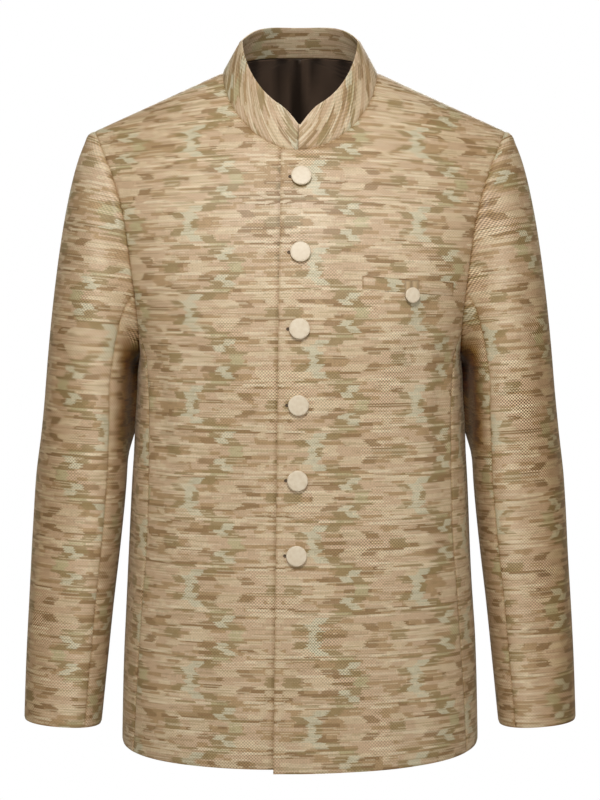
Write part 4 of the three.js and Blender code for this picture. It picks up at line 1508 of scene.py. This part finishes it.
def streakNoise(tree, x, length, row, away, apart):  # streaks along x, another in each row
    place = calc(tree, "MULTIPLY_ADD", x, length, calc(tree, "MULTIPLY", row, away))
    return noise(tree, joinVector(tree, place, calc(tree, "MULTIPLY", row, apart)))


def shadowOf(tree):  # the shade that a piece carries on its corners
    node = tree.nodes.new("ShaderNodeAttribute")
    node.attribute_name = "shadow"
    return node.outputs["Fac"]


def ramp(tree, factor, stops, interpolation="LINEAR"):
    node = tree.nodes.new("ShaderNodeValToRGB")
    node.color_ramp.interpolation = interpolation
    elements = node.color_ramp.elements
    while len(elements) < len(stops):
        elements.new(0.5)
    for element, (position, shade) in zip(elements, stops):
        element.position = position
        element.color = shade
    plug(tree, node.inputs[0], factor)
    return node.outputs[0]


def blendColour(tree, factor, first, second, kind="MIX"):
    node = tree.nodes.new("ShaderNodeMix")
    node.data_type = "RGBA"
    node.blend_type = kind
    plug(tree, node.inputs[0], factor)
    plug(tree, node.inputs[6], first)
    plug(tree, node.inputs[7], second)
    return node.outputs[2]


def useGroup(tree, group, **values):
    node = tree.nodes.new("ShaderNodeGroup")
    node.node_tree = group
    for label, value in values.items():
        plug(tree, node.inputs[label], value)
    return node.outputs


# Threads that cross, with a small diamond figure over them
def weaveGrain():
    group, given, result = startGroup(
        "WeaveGrain",
        [("Place", "Vector"), ("Size", "Float"), ("Strength", "Float")],
        [("Shade", "Float"), ("Height", "Float")],
    )
    x, y, _ = splitVector(group, given["Place"])
    turns = calc(group, "DIVIDE", 2 * math.pi, given["Size"])
    waveX = calc(group, "SINE", calc(group, "MULTIPLY", x, turns))
    waveY = calc(group, "SINE", calc(group, "MULTIPLY", y, turns))
    diamond = calc(group, "MULTIPLY", waveX, waveY)
    wander = noise(group, given["Place"], 0.013, 2.0)
    zones = calc(group, "MAXIMUM", calc(group, "MULTIPLY_ADD", wander, 9.0, -3.9), 0.3)
    strength = calc(group, "MULTIPLY", zones, given["Strength"])
    weft = stretched(group, x, y, 0.09, 1.9)
    warp = stretched(group, x, y, 1.7, 0.12)
    threads = calc(group, "SUBTRACT", calc(group, "ADD", weft, warp), 1.0)
    figure = calc(group, "MULTIPLY", diamond, strength)
    shade = calc(group, "MULTIPLY_ADD", threads, 1.1, calc(group, "MULTIPLY", figure, 0.8))
    plug(group, result["Shade"], shade)
    plug(group, result["Height"], calc(group, "MULTIPLY_ADD", threads, 0.5, figure))
    return group


palette = {
    "tan": (178, 149, 111),
    "rose": (200, 173, 142),
    "beige": (211, 190, 157),
    "light": (223, 206, 175),
    "olive": (153, 132, 90),
    "dark": (152, 123, 86),
    "mint": (204, 198, 170),
    "moss": (188, 177, 137),
}
paletteOrder = list(palette)

# The brocade's look. Rows and lengths are in millimetres.
brocadeLook = {
    "fineRow": 0.6,        # each row of this height shifts the figure by up to its ragged share
    "fineRagged": 3.4,
    "coarseRow": 3.9,
    "coarseRagged": 3.6,
    "streakLong": 0.016,   # a smaller number draws the streaks of the ground longer
    "thinRow": 1.3,
    "thinLong": 0.024,
    "paleFrom": 0.62,
    "pale": 0.45,
    "deepBelow": 0.36,
    "deep": 0.36,
    "bold": 0.82,          # how firmly the figure covers the ground
    "boldInShadow": 0.15,
    "weaveSize": 3.4,
    "weaveTone": 0.3,
    "tone": 0.92,
    "cloudy": 0.12,
    # how much the painted shade takes from red, green and blue
    "shadow": (0.19, 0.24, 0.31),
}

# The repeat as a chart of bands, from one mirror line up to the next. A band has its
# height, how far its ends lean for a millimetre of height, and where colours start.
# "ground" is left to the streaks of the ground cloth.
repeatWide = 113
repeatHigh = 48.5
chart = table("high lean cells", [
    (5.0, 0.3, [(0, "ground"), (24, "mint"), (33, "olive"), (40, "ground"), (66, "rose"), (92, "ground")]),
    (8.0, 0.9, [(0, "ground"), (10, "olive"), (22, "mint"), (37, "ground"), (60, "beige"), (84, "dark"),
                (98, "ground")]),
    (7.0, -0.9, [(0, "ground"), (15, "beige"), (29, "mint"), (43, "olive"), (58, "ground"), (80, "rose"),
                 (100, "ground")]),
    (2.5, 0, [(0, "light"), (20, "ground"), (48, "olive"), (76, "ground"), (90, "light")]),
    (2.5, 0, [(0, "ground"), (12, "olive"), (36, "light"), (54, "moss"), (72, "ground")]),
    (2.5, 0, [(0, "beige"), (8, "ground"), (46, "olive"), (80, "ground"), (96, "beige")]),
    (7.0, 0.8, [(0, "ground"), (8, "rose"), (30, "ground"), (52, "olive"), (66, "mint"), (78, "ground"),
                (104, "beige")]),
    (6.0, -0.8, [(0, "beige"), (16, "ground"), (40, "dark"), (58, "mint"), (70, "olive"), (82, "ground")]),
    (2.5, 0, [(0, "ground"), (14, "light"), (44, "ground"), (64, "olive"), (92, "ground")]),
    (5.5, 0, [(0, "olive"), (18, "ground"), (30, "beige"), (52, "ground"), (74, "moss"), (88, "ground")]),
])


def brocadeFigure(grain):
    group, given, result = startGroup(
        "BrocadeFigure",
        [("Place", "Vector"), ("Shadow", "Float"), ("Weave", "Float")],
        [("Color", "Color"), ("Roughness", "Float"), ("Height", "Float")],
    )
    x, y, _ = splitVector(group, given["Place"])
    look = brocadeLook
    fine = rowChance(group, y, look["fineRow"])
    rows = rowChance(group, y, look["coarseRow"])
    ragged = calc(group, "MULTIPLY_ADD", fine, look["fineRagged"],
                  calc(group, "MULTIPLY", rows, look["coarseRagged"]))
    across = calc(group, "ADD", x, ragged)
    column = calc(group, "FLOOR", calc(group, "DIVIDE", across, repeatWide))
    dropped = calc(group, "MULTIPLY_ADD", column, repeatHigh, y)
    folded = calc(group, "PINGPONG", dropped, repeatHigh)
    figure = 0.0
    low = 0.0
    for band in chart:
        middle = low + band["high"] / 2
        above = calc(group, "SUBTRACT", folded, middle)
        leant = calc(group, "MULTIPLY_ADD", above, band["lean"], across)
        share = calc(group, "FRACT", calc(group, "DIVIDE", leant, repeatWide))
        stops = []
        for start, name in band["cells"]:
            step = (paletteOrder.index(name) + 1) / 10 if name != "ground" else 0.0
            stops.append((start / repeatWide, (step, step, step, 1)))
        value = ramp(group, share, stops, "CONSTANT")
        inBand = calc(group, "COMPARE", folded, middle, band["high"] / 2)
        figure = calc(group, "MULTIPLY_ADD", value, inBand, figure)
        low += band["high"]
    figureColour = ramp(group, figure, [
        ((k + 0.55) / 10, colour(*palette[name])) for k, name in enumerate(paletteOrder)
    ], "CONSTANT")
    onFigure = calc(group, "GREATER_THAN", figure, 0.05)

    ground = ramp(group, streakNoise(group, x, look["streakLong"], rows, 97, 31), [
        (0.0, colour(*palette["dark"])),
        (0.33, colour(*palette["tan"])),
        (0.47, colour(*palette["rose"])),
        (0.64, colour(*palette["beige"])),
    ], "CONSTANT")
    thin = streakNoise(group, x, look["thinLong"], rowChance(group, y, look["thinRow"]), 71, 43)
    pale = calc(group, "GREATER_THAN", thin, look["paleFrom"])
    deep = calc(group, "LESS_THAN", thin, look["deepBelow"])
    bold = calc(group, "MULTIPLY_ADD", given["Shadow"], look["boldInShadow"], look["bold"])
    base = blendColour(group, calc(group, "MULTIPLY", onFigure, bold), ground, figureColour)
    for streaks, strength, name in ((pale, look["pale"], "light"), (deep, look["deep"], "olive")):
        share = calc(group, "MULTIPLY", streaks, strength)
        base = blendColour(group, share, base, colour(*palette[name]))
    woven = useGroup(group, grain, Place=given["Place"], Size=look["weaveSize"],
                     Strength=given["Weave"])
    cloudy = noise(group, given["Place"], 0.018, 2.0)
    tone = calc(group, "MULTIPLY_ADD", woven["Shade"], look["weaveTone"], look["tone"])
    tone = calc(group, "MULTIPLY_ADD", cloudy, look["cloudy"], tone)
    # painted shade from the shadow attribute, deeper in blue than in red
    paintedShadeTone = [calc(group, "MULTIPLY_ADD", given["Shadow"], -share, tone) for share in look["shadow"]]
    shaded = blendColour(group, 1.0, base, joinVector(group, *paintedShadeTone), "MULTIPLY")
    plug(group, result["Color"], shaded)
    rough = calc(group, "MULTIPLY_ADD", onFigure, -0.05, 0.5)
    plug(group, result["Roughness"], calc(group, "MULTIPLY_ADD", woven["Shade"], -0.06, rough))
    plug(group, result["Height"], calc(group, "MULTIPLY_ADD", onFigure, 0.25, woven["Height"]))
    return group


def startMaterial(name, **constants):
    material = bpy.data.materials.new(name)
    material.use_nodes = True
    tree = material.node_tree
    shader = tree.nodes["Principled BSDF"]
    for label, value in constants.items():
        shader.inputs[label.replace("_", " ")].default_value = value
    return material, tree, shader.inputs


def clothPlace(tree, scale=1000.0):  # places on the flat cloth, in millimetres
    node = tree.nodes.new("ShaderNodeUVMap")
    node.uv_map = "cloth"
    scaled = tree.nodes.new("ShaderNodeVectorMath")
    scaled.operation = "SCALE"
    plug(tree, scaled.inputs[0], node.outputs[0])
    scaled.inputs["Scale"].default_value = scale
    return scaled.outputs[0]


def alongThreads(tree, sockets):
    node = tree.nodes.new("ShaderNodeTangent")
    node.direction_type = "UV_MAP"
    node.uv_map = "cloth"
    plug(tree, sockets["Tangent"], node.outputs[0])


def bump(tree, sockets, height, distance):
    node = tree.nodes.new("ShaderNodeBump")
    node.inputs["Strength"].default_value = 0.6
    node.inputs["Distance"].default_value = distance
    plug(tree, node.inputs["Height"], height)
    plug(tree, sockets["Normal"], node.outputs[0])


def brocadeMaterial(name, figure, weave):
    material, tree, sockets = startMaterial(
        name, Sheen_Weight=0.14, Sheen_Roughness=0.4, Anisotropic=0.45, Specular_IOR_Level=0.4)
    sockets["Sheen Tint"].default_value = colour(236, 220, 190)
    woven = useGroup(tree, figure, Place=clothPlace(tree), Shadow=shadowOf(tree), Weave=weave)
    plug(tree, sockets["Base Color"], woven["Color"])
    plug(tree, sockets["Roughness"], woven["Roughness"])
    alongThreads(tree, sockets)
    bump(tree, sockets, woven["Height"], 0.00007)
    return material


def plainMaterial(name, grain, shade, size, spread, roughness, **constants):
    material, tree, sockets = startMaterial(name, **constants)
    place = clothPlace(tree)
    woven = useGroup(tree, grain, Place=place, Size=size, Strength=0.7)
    cloudy = noise(tree, place, 0.03, 3.0)
    tone = calc(tree, "MULTIPLY_ADD", woven["Shade"], spread, 0.9)
    tone = calc(tree, "MULTIPLY_ADD", cloudy, 0.2, tone)
    # painted shade, or painted highlight below 0, from the shadow attribute
    tone = calc(tree, "MULTIPLY_ADD", shadowOf(tree), -0.35, tone)
    plug(tree, sockets["Base Color"],
         blendColour(tree, 1.0, colour(*shade), joinVector(tree, tone, tone, tone), "MULTIPLY"))
    plug(tree, sockets["Roughness"], calc(tree, "MULTIPLY_ADD", cloudy, 0.1, roughness))
    alongThreads(tree, sockets)
    bump(tree, sockets, woven["Height"], 0.00004)
    return material


def creamMaterial():
    material, tree, sockets = startMaterial("cream", Specular_IOR_Level=0.45)
    where = tree.nodes.new("ShaderNodeTexCoord").outputs["Object"]
    cloudy = noise(tree, where, 240, 3.0)
    shade = ramp(tree, cloudy, [(0.3, colour(219, 203, 177)), (0.7, colour(229, 216, 193))])
    plug(tree, sockets["Base Color"], shade)
    plug(tree, sockets["Roughness"], calc(tree, "MULTIPLY_ADD", cloudy, 0.16, 0.36))
    bump(tree, sockets, noise(tree, where, 900, 2.0), 0.00005)
    return material


def threadMaterial():
    material, tree, sockets = startMaterial("thread", Sheen_Weight=0.3)
    where = tree.nodes.new("ShaderNodeTexCoord").outputs["Object"]
    x, _, z = splitVector(tree, where)
    strands = stretched(tree, x, z, 2600, 300)
    plug(tree, sockets["Base Color"],
         ramp(tree, strands, [(0.3, colour(58, 44, 29)), (0.7, colour(104, 82, 55))]))
    plug(tree, sockets["Roughness"], calc(tree, "MULTIPLY_ADD", strands, 0.2, 0.5))
    bump(tree, sockets, strands, 0.0002)
    return material


grain = weaveGrain()
figure = brocadeFigure(grain)
brocade = brocadeMaterial("brocade", figure, 1.0)
sleeveBrocade = brocadeMaterial("sleeve brocade", figure, 1.5)
collarBrocade = brocadeMaterial("collar brocade", figure, 0.4)
satin = plainMaterial("satin", grain, (36, 28, 22), 1.1, 0.25, 0.32, Sheen_Weight=0.4,
                      Anisotropic=0.4, Sheen_Tint=colour(172, 150, 138), Specular_IOR_Level=0.35,
                      Specular_Tint=colour(255, 240, 224))
plainSilk = plainMaterial("plain silk", grain, (184, 158, 120), 1.3, 0.15, 0.5, Sheen_Weight=0.3)
creamDisc = creamMaterial()
thread = threadMaterial()
print("materials made")

# The pieces, in the order in which they are sewn
ring = armhole()
quietDots = [item["point"] for item in ring + neckEdge(leftFront, [0.0])]
quietTree = KDTree(len(quietDots))
for index, dot in enumerate(quietDots):
    quietTree.insert(dot, index)
quietTree.balance()
for side, word in ((1, "left"), (-1, "right")):
    backPanel(f"back_{word}", side, ring)
frontPanel("front_left", leftFront, ring)
frontPanel("front_right", rightFront, ring)
for side, word in ((1, "left"), (-1, "right")):
    sidePanel(f"side_{word}", side, ring)
seamOne, seamTwo = sleeve["frontSeam"]["column"], sleeve["backSeam"]["column"]
for side, word in ((1, "left"), (-1, "right")):
    sleevePiece(f"top_sleeve_{word}", side, ring, seamTwo - ringSteps, seamOne, 0)
    sleevePiece(f"under_sleeve_{word}", side, ring, seamOne, seamTwo, (seamOne + seamTwo) // 2)
collarBand()
backLining(ring)
pocketWelt()
pocketLoop()
print("cloth pieces sewn")

turnedButton("pocket_button_disc", "pocket_button", smallButton,
             pocketButtonX, pocketButtonHeight, 0)
for k in range(buttons["count"]):
    share = k / (buttons["count"] - 1)
    x = mix(buttons["topX"], buttons["bottomX"], share)
    height = mix(buttons["topHeight"], buttons["bottomHeight"], share)
    turnedButton(f"button_{k + 1}_disc", f"button_{k + 1}", frontButton, x, height, leftFront["rise"])
    workedButtonhole(f"buttonhole_{k + 1}", x, height, leftFront["rise"])
print("buttons on")


# A pale floor far below, a white ground behind and soft light from in front
studio = {
    "floorRadius": 2.2,
    "floorHeight": -1.45,
    "floorCorners": 72,
    "skyLight": 0.24,
    "lens": 115.6,
    "away": 2.8,
    "eyeHeight": -0.174,
    "lookDown": 3.57,
}
lights = table("name place target size energy spread", [
    ("key", (-0.08, -2.0, 1.3), (0, -0.1, -0.1), 0.7, 6.1, 74),
    ("fill", (0.1, -2.8, -0.1), (0, 0, -0.45), 1.4, 7, 180),
    ("left", (-1.9, -1.9, 0.2), (0.05, 0, -0.35), 0.8, 7, 180),
    ("right", (1.9, -1.9, 0.2), (-0.05, 0, -0.35), 0.8, 6, 180),
    ("behind", (0.2, 2.5, 0.8), (0, 0, -0.35), 1.8, 30, 180),
])
for item in lights:
    light = bpy.data.lights.new(item["name"], "AREA")
    light.shape = "DISK"
    light.size = item["size"]
    light.energy = item["energy"]
    light.spread = math.radians(item["spread"])
    lamp = putDown(item["name"], light)
    lamp.location = item["place"]
    aim = Vector(item["target"]) - Vector(item["place"])
    lamp.rotation_euler = aim.to_track_quat("-Z", "Y").to_euler()

floorMesh = bpy.data.meshes.new("floor")
floorRim = []
for k in range(studio["floorCorners"]):
    angle = 2 * math.pi * k / studio["floorCorners"]
    x, y = studio["floorRadius"] * math.cos(angle), studio["floorRadius"] * math.sin(angle)
    floorRim.append((x, y, studio["floorHeight"]))
floorMesh.from_pydata(floorRim, [], [tuple(range(len(floorRim)))])
floor = putDown("floor", floorMesh)
paleFloor, floorTree, floorSockets = startMaterial("pale floor")
floorWhere = floorTree.nodes.new("ShaderNodeTexCoord").outputs["Object"]
floorCloudy = noise(floorTree, floorWhere, 3.0, 2.0)
floorShades = [(0.3, colour(240, 240, 240)), (0.7, colour(246, 246, 246))]
plug(floorTree, floorSockets["Base Color"], ramp(floorTree, floorCloudy, floorShades))
floorMesh.materials.append(paleFloor)

world = bpy.data.worlds.new("studio")
bpy.context.scene.world = world
world.use_nodes = True
sky = world.node_tree
background = sky.nodes["Background"]
seen = sky.nodes.new("ShaderNodeLightPath").outputs["Is Camera Ray"]
strength = calc(sky, "MULTIPLY_ADD", seen, 1 - studio["skyLight"], studio["skyLight"])
plug(sky, background.inputs["Strength"], strength)
plug(sky, background.inputs["Color"], blendColour(sky, seen, (1, 0.9, 0.76, 1), (1, 1, 1, 1)))

view = bpy.data.cameras.new("photo view")
view.sensor_fit = "VERTICAL"
view.sensor_height = 36
view.lens = studio["lens"]
camera = putDown("photo view", view)
camera.location = (0, -studio["away"], studio["eyeHeight"])
camera.rotation_euler = (math.radians(90 - studio["lookDown"]), 0, 0)
bpy.context.scene.camera = camera
bpy.context.scene.view_settings.view_transform = "Standard"
print("lights, floor and camera placed")
